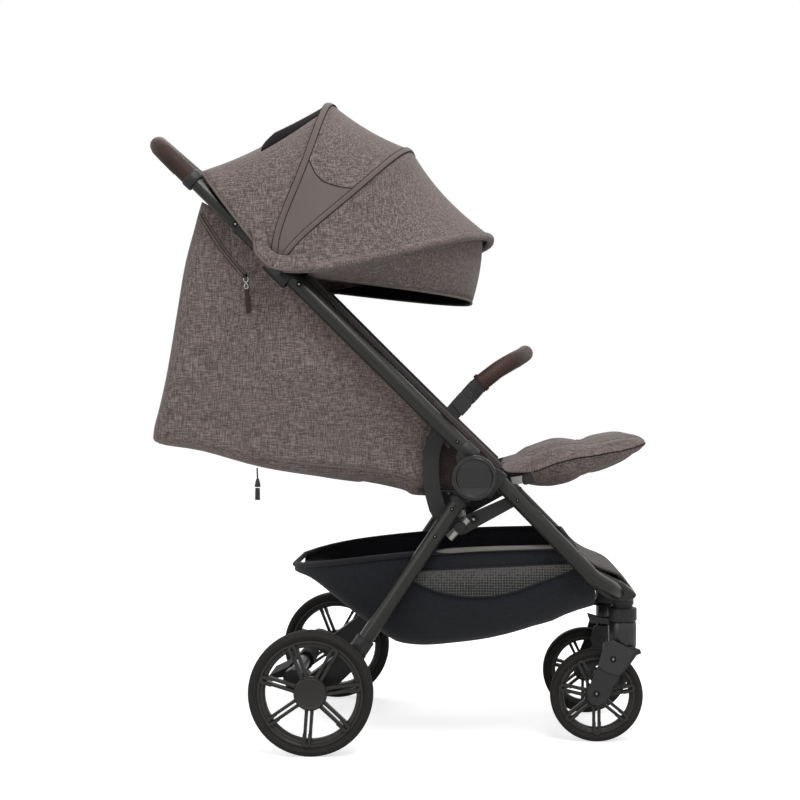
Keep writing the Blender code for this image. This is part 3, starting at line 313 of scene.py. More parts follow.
def lathe(name, profile, centre, axis=(0, 1, 0), skin=None, body=None, steps=96, angle=35):
    turn = Vector((0, 0, 1)).rotation_difference(Vector(axis)).to_matrix()
    centre = Vector(centre)
    n = len(profile)
    verts, faces = [], []
    for k in range(steps):
        t = 2 * pi * k / steps
        verts += [centre + turn @ Vector((r * cos(t), r * sin(t), h)) for r, h in profile]
        a, b = k * n, ((k + 1) % steps) * n
        faces += [(a + i, b + i, b + i + 1, a + i + 1) for i in range(n - 1)]
        if profile[0][0] > 1e-6:
            faces.append((a + n - 1, b + n - 1, b, a))
    thing = shade(outward(newMesh(name, verts, faces, skin), 0.00001), angle)
    if body:
        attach(thing, body)
    return thing


def prism(name, outline, low, high, skin, body=None, edge=0.0008):
    # an (x, z) outline between two values of y, with softened edges
    low, high = sorted((low, high))
    n = len(outline)
    verts = [(x, y, z) for y in (low, high) for x, z in outline]
    faces = [tuple(range(n)), tuple(range(n, 2 * n))[::-1]]
    faces += [(k, (k + 1) % n, n + (k + 1) % n, n + k) for k in range(n)]
    thing = outward(newMesh(name, verts, faces, skin, 40))
    bevel(thing, edge, 3, 35)
    if body:
        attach(thing, body)
    return thing


def softCopy(node, skin, width=0.0007, cut=None):
    # the CAD solid again, with moulded edges, and cut off at a plane where a sleeve is shorter than the solid
    source = frame["nodes"][node]
    parts = node.split("_")
    name = parts[0] + "".join(p.capitalize() for p in parts[1:])
    shape = bmesh.new()
    shape.from_mesh(source.data)
    bmesh.ops.transform(shape, matrix=source.matrix_world, verts=shape.verts)
    bmesh.ops.remove_doubles(shape, verts=shape.verts, dist=0.00002)
    bmesh.ops.dissolve_limit(shape, angle_limit=radians(1.5), verts=shape.verts, edges=shape.edges)
    if cut:
        spot, way = cut
        made = bmesh.ops.bisect_plane(shape, geom=list(shape.verts) + list(shape.edges) + list(shape.faces),
                                      plane_co=spot, plane_no=way, clear_outer=True)
        rim = [e for e in made["geom_cut"] if isinstance(e, bmesh.types.BMEdge)]
        bmesh.ops.holes_fill(shape, edges=rim)
        bmesh.ops.recalc_face_normals(shape, faces=shape.faces)
    mesh = bpy.data.meshes.new(name)
    shape.to_mesh(mesh)
    shape.free()
    thing = shade(newObject(name, mesh), 32)
    mesh.materials.clear()
    mesh.materials.append(skin)
    bevel(thing, width, 2, 32)
    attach(thing, body_of(source)[0])
    return dress(thing, node)


def mirrored(points):
    return [Vector((p[0], -p[1], p[2])) for p in points]


def foldUp(thing):
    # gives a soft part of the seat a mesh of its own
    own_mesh(thing)


# Materials
def newSkin(name, colour, rough, metal=0.0, sheen=0.0, gleam=0.5):
    skin = bpy.data.materials.new(name)
    skin.use_nodes = True
    shader = skin.node_tree.nodes["Principled BSDF"]
    shader.inputs["Base Color"].default_value = (*colour, 1)
    shader.inputs["Roughness"].default_value = rough
    shader.inputs["Metallic"].default_value = metal
    shader.inputs["Specular IOR Level"].default_value = gleam
    shader.inputs["Sheen Weight"].default_value = sheen
    shader.inputs["Sheen Roughness"].default_value = 0.6
    skin.diffuse_color = (*colour, 1)
    return skin


def addNode(skin, kind, **values):
    node = skin.node_tree.nodes.new(kind)
    for key, value in values.items():
        if hasattr(node, key) and key not in node.inputs:
            setattr(node, key, value)
        else:
            node.inputs[key].default_value = value
    return node


def wire(skin, a, out, b, into):
    skin.node_tree.links.new(a.outputs[out], b.inputs[into])


def shaderOf(skin):
    return skin.node_tree.nodes["Principled BSDF"]


def stretchedNoise(skin, stretch, scale, detail=2.0, rough=0.5):
    place = addNode(skin, "ShaderNodeTexCoord")
    fit = addNode(skin, "ShaderNodeMapping")
    fit.inputs["Scale"].default_value = stretch
    wire(skin, place, "Object", fit, "Vector")
    made = addNode(skin, "ShaderNodeTexNoise", Scale=scale, Detail=detail, Roughness=rough)
    wire(skin, fit, 0, made, "Vector")
    return made


def mixed(skin, kind, amount=0.5):
    node = addNode(skin, "ShaderNodeMix", data_type="RGBA", blend_type=kind)
    node.inputs[0].default_value = amount
    return node


def ramp(skin, stops):
    node = addNode(skin, "ShaderNodeValToRGB")
    line = node.color_ramp
    while len(line.elements) < len(stops):
        line.elements.new(0.5)
    for element, (spot, colour) in zip(line.elements, stops):
        element.position = spot
        element.color = (*colour, 1)
    return node


def colourBy(skin, source, out, stops):
    tone = ramp(skin, stops)
    wire(skin, source, out, tone, "Fac")
    wire(skin, tone, 0, shaderOf(skin), "Base Color")
    return tone


def addBump(skin, source, out, strength, distance):
    bump = addNode(skin, "ShaderNodeBump", Strength=strength, Distance=distance)
    wire(skin, source, out, bump, "Height")
    wire(skin, bump, "Normal", shaderOf(skin), "Normal")
    return bump


def weaveSkin(name, dark, middle, pale, scale=1.0, bump=0.5, sheen=0.15, contrast=0.16):
    # two sets of slubbed threads that cross, and a slow drift of colour
    skin = newSkin(name, middle, 0.92, sheen=sheen, gleam=0.2)
    warp = stretchedNoise(skin, (1.0, 1.0, 0.09), 760 * scale, 2.0, 0.6)
    weft = stretchedNoise(skin, (0.09, 1.0, 1.0), 760 * scale, 2.0, 0.6)
    cross = stretchedNoise(skin, (1.0, 0.09, 1.0), 760 * scale, 2.0, 0.6)
    first = mixed(skin, "MIX", 0.5)
    wire(skin, warp, "Fac", first, 6)
    wire(skin, weft, "Fac", first, 7)
    both = mixed(skin, "MIX", 0.22)
    wire(skin, first, 2, both, 6)
    wire(skin, cross, "Fac", both, 7)
    tone = ramp(skin, [(0.5 - contrast, dark), (0.5, middle), (0.5 + contrast, pale)])
    wire(skin, both, 2, tone, "Fac")
    drift = stretchedNoise(skin, (1, 1, 1), 9, 3.0, 0.5)
    shade = ramp(skin, [(0.3, (0.9, 0.9, 0.9)), (0.7, (1.0, 1.0, 1.0))])
    wire(skin, drift, "Fac", shade, "Fac")
    worn = mixed(skin, "MULTIPLY", 1.0)
    wire(skin, tone, 0, worn, 6)
    wire(skin, shade, 0, worn, 7)
    wire(skin, worn, 2, shaderOf(skin), "Base Color")
    rise = addBump(skin, both, 2, bump, 0.0009)
    folds = stretchedNoise(skin, (1, 1, 1), 16, 2.0, 0.5)
    wire(skin, addBump(skin, folds, "Fac", 0.25, 0.004), "Normal", rise, "Normal")
    wire(skin, rise, "Normal", shaderOf(skin), "Normal")
    return skin


def plainSkin(name, colour, rough, metal=0.0, grain=900, bump=0.08, sheen=0.0, drift=0.06,
              spread=0.1, gleam=0.2):
    # moulded or painted: a fine grain, a slow change of tone and a rougher patch here and there
    skin = newSkin(name, colour, rough, metal, sheen, gleam)
    fine = stretchedNoise(skin, (1, 1, 1), grain, 3.0, 0.6)
    slow = stretchedNoise(skin, (1, 1, 1), 14, 3.0, 0.6)
    low = tuple(c * (1 - drift) for c in colour)
    high = tuple(c * (1 + drift) for c in colour)
    colourBy(skin, slow, "Fac", [(0.3, low), (0.7, high)])
    gloss = addNode(skin, "ShaderNodeMapRange")
    gloss.inputs["To Min"].default_value = max(0.05, rough - spread / 2)
    gloss.inputs["To Max"].default_value = min(1.0, rough + spread / 2)
    wire(skin, slow, "Fac", gloss, "Value")
    wire(skin, gloss, 0, shaderOf(skin), "Roughness")
    addBump(skin, fine, "Fac", bump, 0.0005)
    return skin


def leatherSkin(name, colour, bump=0.45):
    skin = newSkin(name, colour, 0.52, gleam=0.22)
    place = addNode(skin, "ShaderNodeTexCoord")
    cells = addNode(skin, "ShaderNodeTexVoronoi", Scale=520.0)
    cells.feature = "DISTANCE_TO_EDGE"
    wire(skin, place, "Object", cells, "Vector")
    slow = stretchedNoise(skin, (1, 1, 1), 22, 3.0, 0.6)
    colourBy(skin, slow, "Fac", [(0.3, tuple(c * 0.72 for c in colour)),
                                 (0.7, tuple(c * 1.3 for c in colour))])
    crease = ramp(skin, [(0.0, (0, 0, 0)), (0.12, (1, 1, 1))])
    wire(skin, cells, "Distance", crease, "Fac")
    addBump(skin, crease, 0, bump, 0.0004)
    return skin


def meshSkin(name, colour, gap, pitch):
    # an open net shown as dark holes in a paler thread
    skin = newSkin(name, colour, 0.85, sheen=0.1)
    place = addNode(skin, "ShaderNodeTexCoord")
    cells = addNode(skin, "ShaderNodeTexVoronoi", Scale=1 / pitch, Randomness=0.15)
    wire(skin, place, "Object", cells, "Vector")
    hole = colourBy(skin, cells, "Distance", [(0.42, gap), (0.55, colour)])
    addBump(skin, hole, 0, 0.5, 0.0006)
    return skin


def ribSkin(name, low, high):
    # a knitted edge with ribs across the frame tube, coloured darker in the troughs between the ribs as
    # painted shade
    pitch = 0.0026
    skin = newSkin(name, high, 0.9, sheen=0.15)
    place = addNode(skin, "ShaderNodeTexCoord")
    fit = addNode(skin, "ShaderNodeMapping")
    fit.inputs["Rotation"].default_value = (0, radians(45), 0)
    wire(skin, place, "Object", fit, "Vector")
    ribs = addNode(skin, "ShaderNodeTexWave", Scale=pi / (10 * pitch), Distortion=0.6)
    ribs.bands_direction = "X"
    wire(skin, fit, 0, ribs, "Vector")
    colourBy(skin, ribs, "Fac", [(0.25, low), (0.75, high)])
    addBump(skin, ribs, "Fac", 0.6, 0.0008)
    return skin


def makeSkins():
    return {
        "tweed": weaveSkin("taupeWeave", (0.066, 0.049, 0.047), (0.134, 0.103, 0.099), (0.256, 0.207, 0.199),
                           0.98, contrast=0.09),
        "lining": weaveSkin("darkLining", (0.006, 0.005, 0.005), (0.008, 0.0065, 0.0065),
                            (0.013, 0.01, 0.01), bump=0.3, sheen=0.0),
        "side": weaveSkin("shadedCloth", (0.026, 0.018, 0.018), (0.052, 0.036, 0.035), (0.085, 0.062, 0.06),
                          0.7),
        # a near-black copy of the taupe rib: painted shade for the upper length of the seat wing
        "ribShaded": ribSkin("shadedRib", (0.004, 0.003, 0.003), (0.012, 0.0085, 0.0085)),
        "rib": ribSkin("taupeRib", (0.015, 0.01, 0.011), (0.042, 0.029, 0.029)),
        "window": plainSkin("smoothPanel", (0.13, 0.104, 0.099), 0.85, grain=1600, bump=0.12, sheen=0.15,
                            drift=0.05),
        "binding": plainSkin("bindingTape", (0.128, 0.097, 0.093), 0.88, grain=1500, bump=0.25, sheen=0.2),
        "thread": plainSkin("seamThread", (0.024, 0.017, 0.016), 0.9, grain=2500, bump=0.3),
        "leather": leatherSkin("brownLeather", (0.036, 0.0175, 0.014)),
        "tube": plainSkin("charcoalTube", (0.0165, 0.016, 0.0145), 0.28, grain=1800, bump=0.02, drift=0.04,
                          gleam=0.34),
        "plastic": plainSkin("mouldedPlastic", (0.0175, 0.0178, 0.0172), 0.46, grain=1300, bump=0.14,
                             gleam=0.32),
        "black": plainSkin("blackPlastic", (0.005, 0.005, 0.005), 0.7, grain=1300, bump=0.1, gleam=0.12),
        "gloss": plainSkin("smoothPlastic", (0.0165, 0.0165, 0.016), 0.26, grain=600, bump=0.02, gleam=0.45),
        "wheel": plainSkin("wheelPlastic", (0.0215, 0.02, 0.0188), 0.42, grain=1200, bump=0.12, gleam=0.3),
        "tyre": plainSkin("foamTyre", (0.0185, 0.017, 0.016), 0.8, grain=1400, bump=0.3, drift=0.12),
        "silver": plainSkin("plainAluminium", (0.36, 0.35, 0.33), 0.38, 0.85, grain=900, bump=0.03),
        "steel": plainSkin("screwSteel", (0.02, 0.02, 0.02), 0.18, 0.7, grain=900, bump=0.02),
        "bright": plainSkin("brightSteel", (0.42, 0.42, 0.42), 0.22, 0.95, grain=900, bump=0.02),
        "tread": leatherSkin("brownTread", (0.036, 0.028, 0.024), 0.8),
        "basket": weaveSkin("basketCloth", (0.0045, 0.005, 0.0068), (0.008, 0.0088, 0.0118),
                            (0.014, 0.015, 0.02), bump=0.3, sheen=0.1),
        "net": meshSkin("basketNet", (0.066, 0.064, 0.06), (0.004, 0.004, 0.005), 0.0042),
        "strip": plainSkin("hemTape", (0.15, 0.142, 0.128), 0.55, grain=1200, bump=0.15),
        "ribbon": plainSkin("blackWebbing", (0.009, 0.009, 0.01), 0.8, grain=1500, bump=0.4, sheen=0.1),
    }


# The frame's lines, as the CAD has them
lines = {
    "hub": (0.111, 0.421), "tubeY": 0.208, "upper": (135.3, 0.0195), "front": (-45.6, 0.022),
    "rear": (-124.0, 0.0), "upperR": 0.013, "legR": 0.012, "handleR": 0.0109,
    "pivot": (-0.19, 0.737),
}


def along(which, reach, side, y=None):
    angle, offset = lines[which]
    t = radians(angle)
    y = lines["tubeY"] if y is None else y
    lift = offset * cos(pi / 4)
    return Vector((lines["hub"][0] + lift + reach * cos(t), side * y,
                   lines["hub"][1] + lift + reach * sin(t)))


def sides():
    return (("Left", "left", 1), ("Right", "right", -1))


# Wheels
wheelSizes = {
    "rear": {"radius": 0.095, "width": 0.032, "x": -0.138, "y": 0.242, "turn": 4.0},
    "front": {"radius": 0.073, "width": 0.026, "x": 0.303, "y": 0.1175, "turn": 0.0},
    "tyreBand": (0.0138, 0.0125), "rimBand": (0.011, 0.0085), "pairs": 7, "barWidth": 0.0046, "slot": 0.0037,
    "cap": 0.27,
}


def makeWheel(label, node, kind, side, skins):
    size = wheelSizes[kind]
    radius, width = size["radius"], size["width"]
    centre = Vector((size["x"], side * size["y"], radius))
    front = kind == "front"
    seat = radius - wheelSizes["tyreBand"][front]
    lip = seat - wheelSizes["rimBand"][front]
    cap = wheelSizes["cap"] * radius
    tread = [(seat, -0.38), (seat + 0.003, -0.45), (radius - 0.0072, -0.5), (radius - 0.0035, -0.475),
             (radius - 0.0012, -0.4), (radius - 0.0002, -0.28), (radius, -0.12)]
    tread += [(r, -h) for r, h in tread[::-1]]
    tyre = lathe(label + "Tyre", [(r, h * width) for r, h in tread], centre, skin=skins["tyre"], body=node)
    dress(tyre, node + "_tyre")
    band = [(seat - 0.0003, 0.4), (seat - 0.001, 0.43), (seat - 0.0035, 0.435), (seat - 0.0048, 0.4),
            (seat - 0.0056, 0.345), (lip + 0.0035, 0.34), (lip + 0.0012, 0.31), (lip, 0.25),
            (lip - 0.0006, 0.1)]
    band = [(band[0][0], -band[0][1])] + band + [(r, -h) for r, h in band[:0:-1]]
    parts = [lathe(label + "Band", [(r, h * width) for r, h in band], centre, skin=skins["wheel"])]
    face = 0.43 * width
    boss = [(0, 0.395 * width), (cap * 0.74, 0.395 * width), (cap * 0.8, face - 0.0007), (cap * 0.86, face),
            (cap * 0.93, face - 0.0004), (cap * 0.985, face - 0.0022), (cap, face - 0.0045),
            (cap * 0.985, -0.05 * width), (cap * 0.8, -0.22 * width), (cap * 0.72, -0.4 * width),
            (cap * 0.66, -0.455 * width), (0, -0.46 * width)]
    if side < 0:
        boss = [(r, -h) for r, h in boss]
    parts.append(lathe(label + "Boss", boss, centre, skin=skins["wheel"], steps=64))
    foot = cap * 0.9
    length = lip + 0.001 - foot
    middle = side * 0.12 * width
    depth = 0.012 if kind == "rear" else 0.01
    step = (wheelSizes["barWidth"] + wheelSizes["slot"]) / 2
    thin = wheelSizes["barWidth"] / 2
    verts, faces, loops = [], [], []
    for pair in range(wheelSizes["pairs"]):
        spin = Matrix.Rotation(2 * pi * pair / wheelSizes["pairs"] + radians(size["turn"]), 4, "Y")
        for shift in (-1, 1):
            first = len(verts)
            # a bar that widens a little at the rim, and leans in at its foot
            for share in (0.0, 0.12, 0.5, 0.86, 0.95, 1.0):
                flare = 1.0 + 0.25 * max(0, (share - 0.86) / 0.14) ** 2 + 0.2 * max(0, (0.12 - share) / 0.12)
                deep = depth * (1.0 - 0.1 * sin(pi * share))
                for dx, dy in ((-1, -1), (1, -1), (1, 1), (-1, 1)):
                    spot = Vector((shift * step + dx * thin * flare, middle + dy * deep / 2,
                                   -(foot + share * length)))
                    verts.append(centre + spin @ spot)
            for r in range(5):
                for k in range(4):
                    a, b = first + 4 * r + k, first + 4 * r + (k + 1) % 4
                    faces.append((a, b, b + 4, a + 4))
            faces.append((first + 3, first + 2, first + 1, first))
            faces.append((first + 20, first + 21, first + 22, first + 23))
        # each pair ends in a raised loop on the rim
        rows = []
        for k in range(-4, 13):
            t = pi * min(1.0, max(0.0, k / 8))
            run = min(0, k) * 0.0035 if k < 0 else min(0, 8 - k) * 0.0035
            spot = Vector((-cos(t) * step, side * face * 1.02, -(lip + 0.0035 + sin(t) * step + run)))
            side2 = Vector((-cos(t), 0, -sin(t))) * thin * 1.15
            rise = Vector((0, side * 0.0011, 0))
            rows.append([spot - side2, spot - side2 * 0.8 + rise, spot + side2 * 0.8 + rise, spot + side2,
                         spot + side2 - rise * 2.4, spot - side2 - rise * 2.4])
        loops.append([[centre + spin @ p for p in row] for row in rows])
    bars = outward(newMesh(label + "Bars", verts, faces, skins["wheel"], 40))
    bevel(bars, 0.0006, 2, 30)
    parts.append(bars)
    for k, rows in enumerate(loops):
        parts.append(gridMesh("%sLoop%d" % (label, k), rows, skins["wheel"], ring=True, capped=True,
                              angle=40))
    dress(joined(label + "Rim", parts, skins["wheel"], node), node + "_rim")
    # a thin groove between rim and tyre
    lathe(label + "Shadow", [(seat - 0.0002, -0.395 * width), (seat + 0.0004, -0.395 * width),
                             (seat + 0.0004, 0.395 * width), (seat - 0.0002, 0.395 * width)], centre,
          skin=skins["tyre"], body=node, steps=64)


def makeWheels(skins):
    for label, tag, side in sides():
        for kind in ("rear", "front"):
            makeWheel(kind + "Wheel" + label, kind + "_wheel_" + tag, kind, side, skins)


# Frame tubes and knuckles
hubSizes = {"x": 0.11, "z": 0.421, "face": 0.2321, "raised": 0.0088, "bandR": 0.0264, "bandTurn": 31.5}


def screwHead(name, place, side, radius, skins, body):
    # a dark domed head in a thin rim, with a bright steel dot in the middle that is a painted highlight for
    # the head's glint
    profile = [(0, 0.0013), (radius * 0.3, 0.0013), (radius * 0.36, 0.0022), (radius * 0.62, 0.0019),
               (radius * 0.8, 0.0008), (radius * 0.9, 0.0008), (radius * 0.94, 0.0012), (radius, 0.0004),
               (radius, -0.001), (0, -0.001)]
    lathe(name, profile, place, (0, side, 0), skins["steel"], body, 24, 50)
    dot = [(0, 0.0016), (radius * 0.26, 0.0014), (radius * 0.28, 0.001), (0, 0.001)]
    lathe(name + "Dot", dot, place, (0, side, 0), skins["bright"], body, 12, 50)


def makeTubes(skins):
    legR, upperR = lines["legR"], lines["upperR"]
    for label, tag, side in sides():
        dress(tube("upperTube" + label, [along("upper", 0.038, side), along("upper", 0.5245, side)], upperR,
                   skins["tube"], "upper_frame"), "upper_tube_" + tag)
        a, b = along("upper", 0.5245, side), along("upper", 0.533, side)
        way = (b - a).normalized()
        collar = [(upperR, 0.0), (upperR + 0.0006, 0.0012), (upperR + 0.0006, 0.006),
                  (upperR - 0.0006, 0.0085), (lines["handleR"] + 0.0004, 0.0088),
                  (lines["handleR"] + 0.0004, 0.0)]
        lathe("tubeCollar" + label, collar, a, way, skins["plastic"], "upper_frame", 48)
        dress(tube("rearLeg" + label, [along("rear", 0.04, side), along("rear", 0.345, side)], legR,
                   skins["tube"], "rear_frame"), "rear_leg_" + tag)
        top, knee = along("front", 0.024, side), along("front", 0.222, side)
        way = (knee - top).normalized()
        bend = [knee, knee + way * 0.016 + Vector((0, -side * 0.004, 0)),
                Vector((0.318, side * 0.186, 0.2505)), Vector((0.333, side * 0.16, 0.2395)),
                Vector((0.338, side * 0.149, 0.236)), Vector((0.338, side * 0.131, 0.236))]
        dress(tube("frontLeg" + label, [top] + rounded(bend, 6), legR, skins["tube"], "front_frame"),
              "front_leg_" + tag)
    dress(tube("rearCrossTube", [(-0.168, -0.1897, 0.112), (-0.168, 0.1897, 0.112)], 0.011, skins["tube"],
               "rear_frame"), "rear_cross_tube")
    dress(tube("seatCrossTube", [(0.088, -0.1935, 0.343), (0.088, 0.1935, 0.343)], 0.0085, skins["silver"],
               "front_frame"), "seat_cross_tube")
    for name, tag, side in sides():
        for label, x, z, y, radius, body in (("handleScrew", -0.2562, 0.8089, 0.2203, 0.0054, "upper_frame"),
                                             ("tubeScrew", -0.1581, 0.7162, 0.2203, 0.0048, "upper_frame"),
                                             ("upperRivet", 0.0842, 0.4754, 0.2203, 0.003, "upper_frame"),
                                             ("rearRivet", 0.0758, 0.3726, 0.2198, 0.003, "rear_frame"),
                                             ("rearRivetLow", 0.0498, 0.3309, 0.2198, 0.003, "rear_frame"),
                                             ("frontRivet", 0.1756, 0.3861, 0.2198, 0.003, "front_frame"),
                                             ("strutScrew", 0.1088, 0.3555, 0.1956, 0.0062, "front_frame")):
            screwHead(label + name, (x, side * y, z), side, radius, skins, body)
        lathe("crossCap" + name, [(0, 0.0012), (0.0086, 0.0012), (0.0094, 0.0004), (0.0094, -0.003),
                                  (0, -0.003)],
              (0.088, side * 0.1957, 0.343), (0, side, 0), skins["plastic"], "front_frame", 40)
        ends = [Vector((0.1, side * 0.1885, 0.356)), Vector((0.0705, side * 0.1885, 0.325))]
        way = (ends[1] - ends[0]).normalized()
        bands = [(0, 0), (0.007, 0), (0.007, 0.012), (0.0062, 0.0125), (0.0062, 0.0145), (0.007, 0.015),
                 (0.007, 0.02), (0.0062, 0.0205), (0.0062, 0.022), (0.0068, 0.0225), (0.0068, 0.042),
                 (0, 0.043)]
        lathe("silverStrut" + name, bands, ends[0], way, skins["silver"], "front_frame", 32)


def makeKnuckles(skins):
    for label, tag, side in sides():
        for node in ("axle_housing_", "canopy_mount_"):
            softCopy(node + tag, skins["plastic"])
        for node, which, reach, tilt in (("upper_knuckle_", "upper", 0.048, 14),
                                         ("rear_knuckle_", "rear", 0.05, -8),
                                         ("front_knuckle_", "front", 0.0345, 8)):
            way = Vector((cos(radians(lines[which][0] + tilt)), 0, sin(radians(lines[which][0] + tilt))))
            softCopy(node + tag, skins["plastic"], cut=(along(which, reach, side), way))
        softCopy("arm_bracket_" + tag, skins["plastic"], 0.0016)
        for node in ("caster_arm_", "caster_body_"):
            softCopy(node + tag, skins["plastic"], 0.0005)
        a, b = along("upper", 0.022, side), along("upper", 0.049, side)
        sleeve = [(0.01, 0.0), (0.0136, 0.0), (0.0143, 0.0015), (0.0143, 0.0235), (0.0138, 0.0255),
                  (0.012, 0.0258)]
        lathe("upperSleeve" + label, sleeve, a, (b - a).normalized(), skins["plastic"], "upper_frame", 48)
        for name, outline, y, thick, skin, body in (
                ("forkPlate", ((0.3034, 0.1221), (0.2942, 0.0998), (0.2868, 0.0831), (0.2868, 0.072),
                               (0.2924, 0.0628), (0.3034, 0.0592), (0.3144, 0.0639), (0.3218, 0.0742),
                               (0.3255, 0.0853), (0.3347, 0.102), (0.3384, 0.109), (0.3218, 0.115),
                               (0.3108, 0.121)), 0.144, 0.003, "plastic", "caster_arm_"),
                ("forkCheek", ((0.3134, 0.1594), (0.3051, 0.1298), (0.3032, 0.1233), (0.3124, 0.1151),
                               (0.3235, 0.1105), (0.3363, 0.1079), (0.3419, 0.1116), (0.3492, 0.1246),
                               (0.3584, 0.1412), (0.3602, 0.1468), (0.3419, 0.1559), (0.3272, 0.1632)),
                 0.1462, 0.004, "gloss", "caster_"),
                ("forkTab", ((0.36, 0.1483), (0.3722, 0.1447), (0.3737, 0.1391), (0.3667, 0.1366),
                             (0.36, 0.14)), 0.124, 0.012, "plastic", "caster_"),
                ("lockLever", ((0.2883, 0.2021), (0.311, 0.1957), (0.324, 0.195), (0.324, 0.184),
                               (0.3089, 0.1863), (0.2939, 0.1862)), 0.124, 0.012, "plastic", "front_frame")):
            rider = body + tag if body.endswith("_") else body
            prism(name + label, outline, side * (y - thick), side * y, skins[skin], rider, 0.001)
        cup = [(0.015, 0.0), (0.0216, 0.0), (0.0222, 0.0012), (0.0222, 0.037), (0.0215, 0.0385),
               (0.015, 0.0385)]
        lathe("casterSleeve" + label, cup, (0.344, side * 0.1175, 0.15), (0, 0, 1), skins["gloss"],
              "front_frame", 64)
        ring = [(0.015, 0.0), (0.0222, 0.0), (0.0228, 0.001), (0.0228, 0.019), (0.0222, 0.02),
                (0.015, 0.02)]
        lathe("casterRing" + label, ring, (0.344, side * 0.1175, 0.191), (0, 0, 1), skins["plastic"],
              "front_frame", 64)
        for name, x, z, y, rider in (("forkBolt", 0.3272, 0.1336, 0.1464, "caster_" + tag),
                                     ("wheelBolt", 0.3014, 0.079, 0.1442, "caster_arm_" + tag)):
            screwHead(name + label, (x, side * y, z), side, 0.005, skins, rider)
        start, raised, bandR = hubSizes["face"], hubSizes["raised"], hubSizes["bandR"]
        face = [(0, raised), (0.0268, 0.0088), (0.0272, 0.009), (0.0282, 0.0106), (0.0292, 0.011),
                (0.0304, 0.011), (0.031, 0.0104), (0.0314, 0.0088), (0.032, 0.0088), (0.0334, 0.0084),
                (0.0344, 0.0066), (0.0345, 0.0006), (0.0338, 0.0), (0, 0.0)]
        disc = lathe("hubCover" + label, face, (hubSizes["x"], side * start, hubSizes["z"]), (0, side, 0),
                     skins["gloss"], "front_frame", 96, 30)
        dress(disc, "hub_cover_" + tag)
        # a plain grained band between two chords
        ring = []
        for k in range(25):
            t = radians(hubSizes["bandTurn"] * (k / 12 - 1))
            ring.append((hubSizes["x"] + bandR * cos(t), hubSizes["z"] + bandR * sin(t)))
        ring += [(2 * hubSizes["x"] - x, z) for x, z in ring[::-1]]
        y = side * (start + raised)
        prism("hubBand" + label, ring, y, y + side * 0.001, skins["plastic"], "front_frame", 0.0002)
    for node, width in (("front_casting", 0.0008), ("seat_board", 0.0008), ("release_housing", 0.0006)):
        softCopy(node, skins["plastic"], width)
    softCopy("fold_button", skins["gloss"], 0.0005)
    softCopy("brake_pedal", skins["black"], 0.001)
    softCopy("seat_frame", skins["plastic"], 0.0008, cut=(Vector((0.17, 0, 0.405)), Vector((0, 0, 1))))
    tube("hingeRod", [(0.17, -0.15, 0.43), (0.17, 0.15, 0.43)], 0.0045, skins["silver"],
         "front_frame")
    for label, tag, side in sides():
        ear = [(0.16, 0.399), (0.172, 0.396), (0.1765, 0.429), (0.17, 0.4365), (0.1635, 0.43)]
        prism("seatEar" + label, ear, side * 0.14, side * 0.144, skins["plastic"], "front_frame", 0.0008)


# Handle
handleSizes = {"reach": 0.7195, "bend": 0.06, "start": 0.457, "grip": 0.635, "gripR": 0.0141}


def handleRoute(first, steps=16):
    bend, reach = handleSizes["bend"], handleSizes["reach"]
    half = [along("upper", first, -1)]
    for k in range(steps + 1):
        t = pi / 2 * k / steps
        half.append(along("upper", reach - bend + bend * sin(t), -1) + Vector((0, bend * (1 - cos(t)), 0)))
    half.append(Vector((half[-1].x, -0.03, half[-1].z)))
    return half + mirrored(half[::-1])


def makeHandle(skins):
    dress(tube("handleBar", handleRoute(handleSizes["start"]), lines["handleR"], skins["tube"], "handle",
               fine=8),
          "handle_bar")
    route = handleRoute(handleSizes["grip"])
    grip = frozen(tube("handleGrip", route, handleSizes["gripR"], skins["leather"], fine=10))
    grip.data.shade_smooth()
    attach(grip, "handle")
    dress(grip, "handle_grip")
    # the seam runs along the under side of the wrap
    way = Vector((cos(radians(135.3)), 0, sin(radians(135.3))))
    down = Vector((way.z, 0, -way.x)) * -1
    for shift in (-0.0012, 0.0012):
        seam = [p + down * (handleSizes["gripR"] + 0.0002) + way * shift for p in route[1:-1]]
        tube("gripSeam%d" % (shift > 0), seam, 0.0005, skins["thread"], "handle", fine=2)
    for label, tag, side in sides():
        foot = along("upper", handleSizes["grip"] - 0.012, side)
        way = (along("upper", 0.7, side) - foot).normalized()
        cuff = [(0.0107, 0.0), (0.0148, 0.0006), (0.0156, 0.0022), (0.0158, 0.0135), (0.0152, 0.016),
                (0.0143, 0.0168), (0.0143, 0.012), (0.0107, 0.0115)]
        lathe("gripCuff" + label, cuff, foot, way, skins["plastic"], "handle", 64)


# Arm bar
armSizes = {"mouth": (0.0975, 0.541), "angle": 48.0, "y": 0.173, "gripR": 0.013, "neck": 0.0136}


def armRoute():
    way = Vector((cos(radians(armSizes["angle"])), 0, sin(radians(armSizes["angle"]))))
    mouth = Vector((armSizes["mouth"][0], armSizes["y"], armSizes["mouth"][1]))
    half = [mouth + way * 0.004, mouth + way * 0.029, Vector((0.1345, 0.1705, 0.577)),
            Vector((0.153, 0.16, 0.5905)), Vector((0.1715, 0.137, 0.6015)), Vector((0.185, 0.1, 0.609)),
            Vector((0.1925, 0.05, 0.6145)), Vector((0.1945, 0, 0.6165))]
    return half + mirrored(half[-2::-1]), mouth, way


def squared(v):
    # turns a circle's sine or cosine into that of a square with round corners
    return (abs(v) ** 0.5) * (1 if v >= 0 else -1)


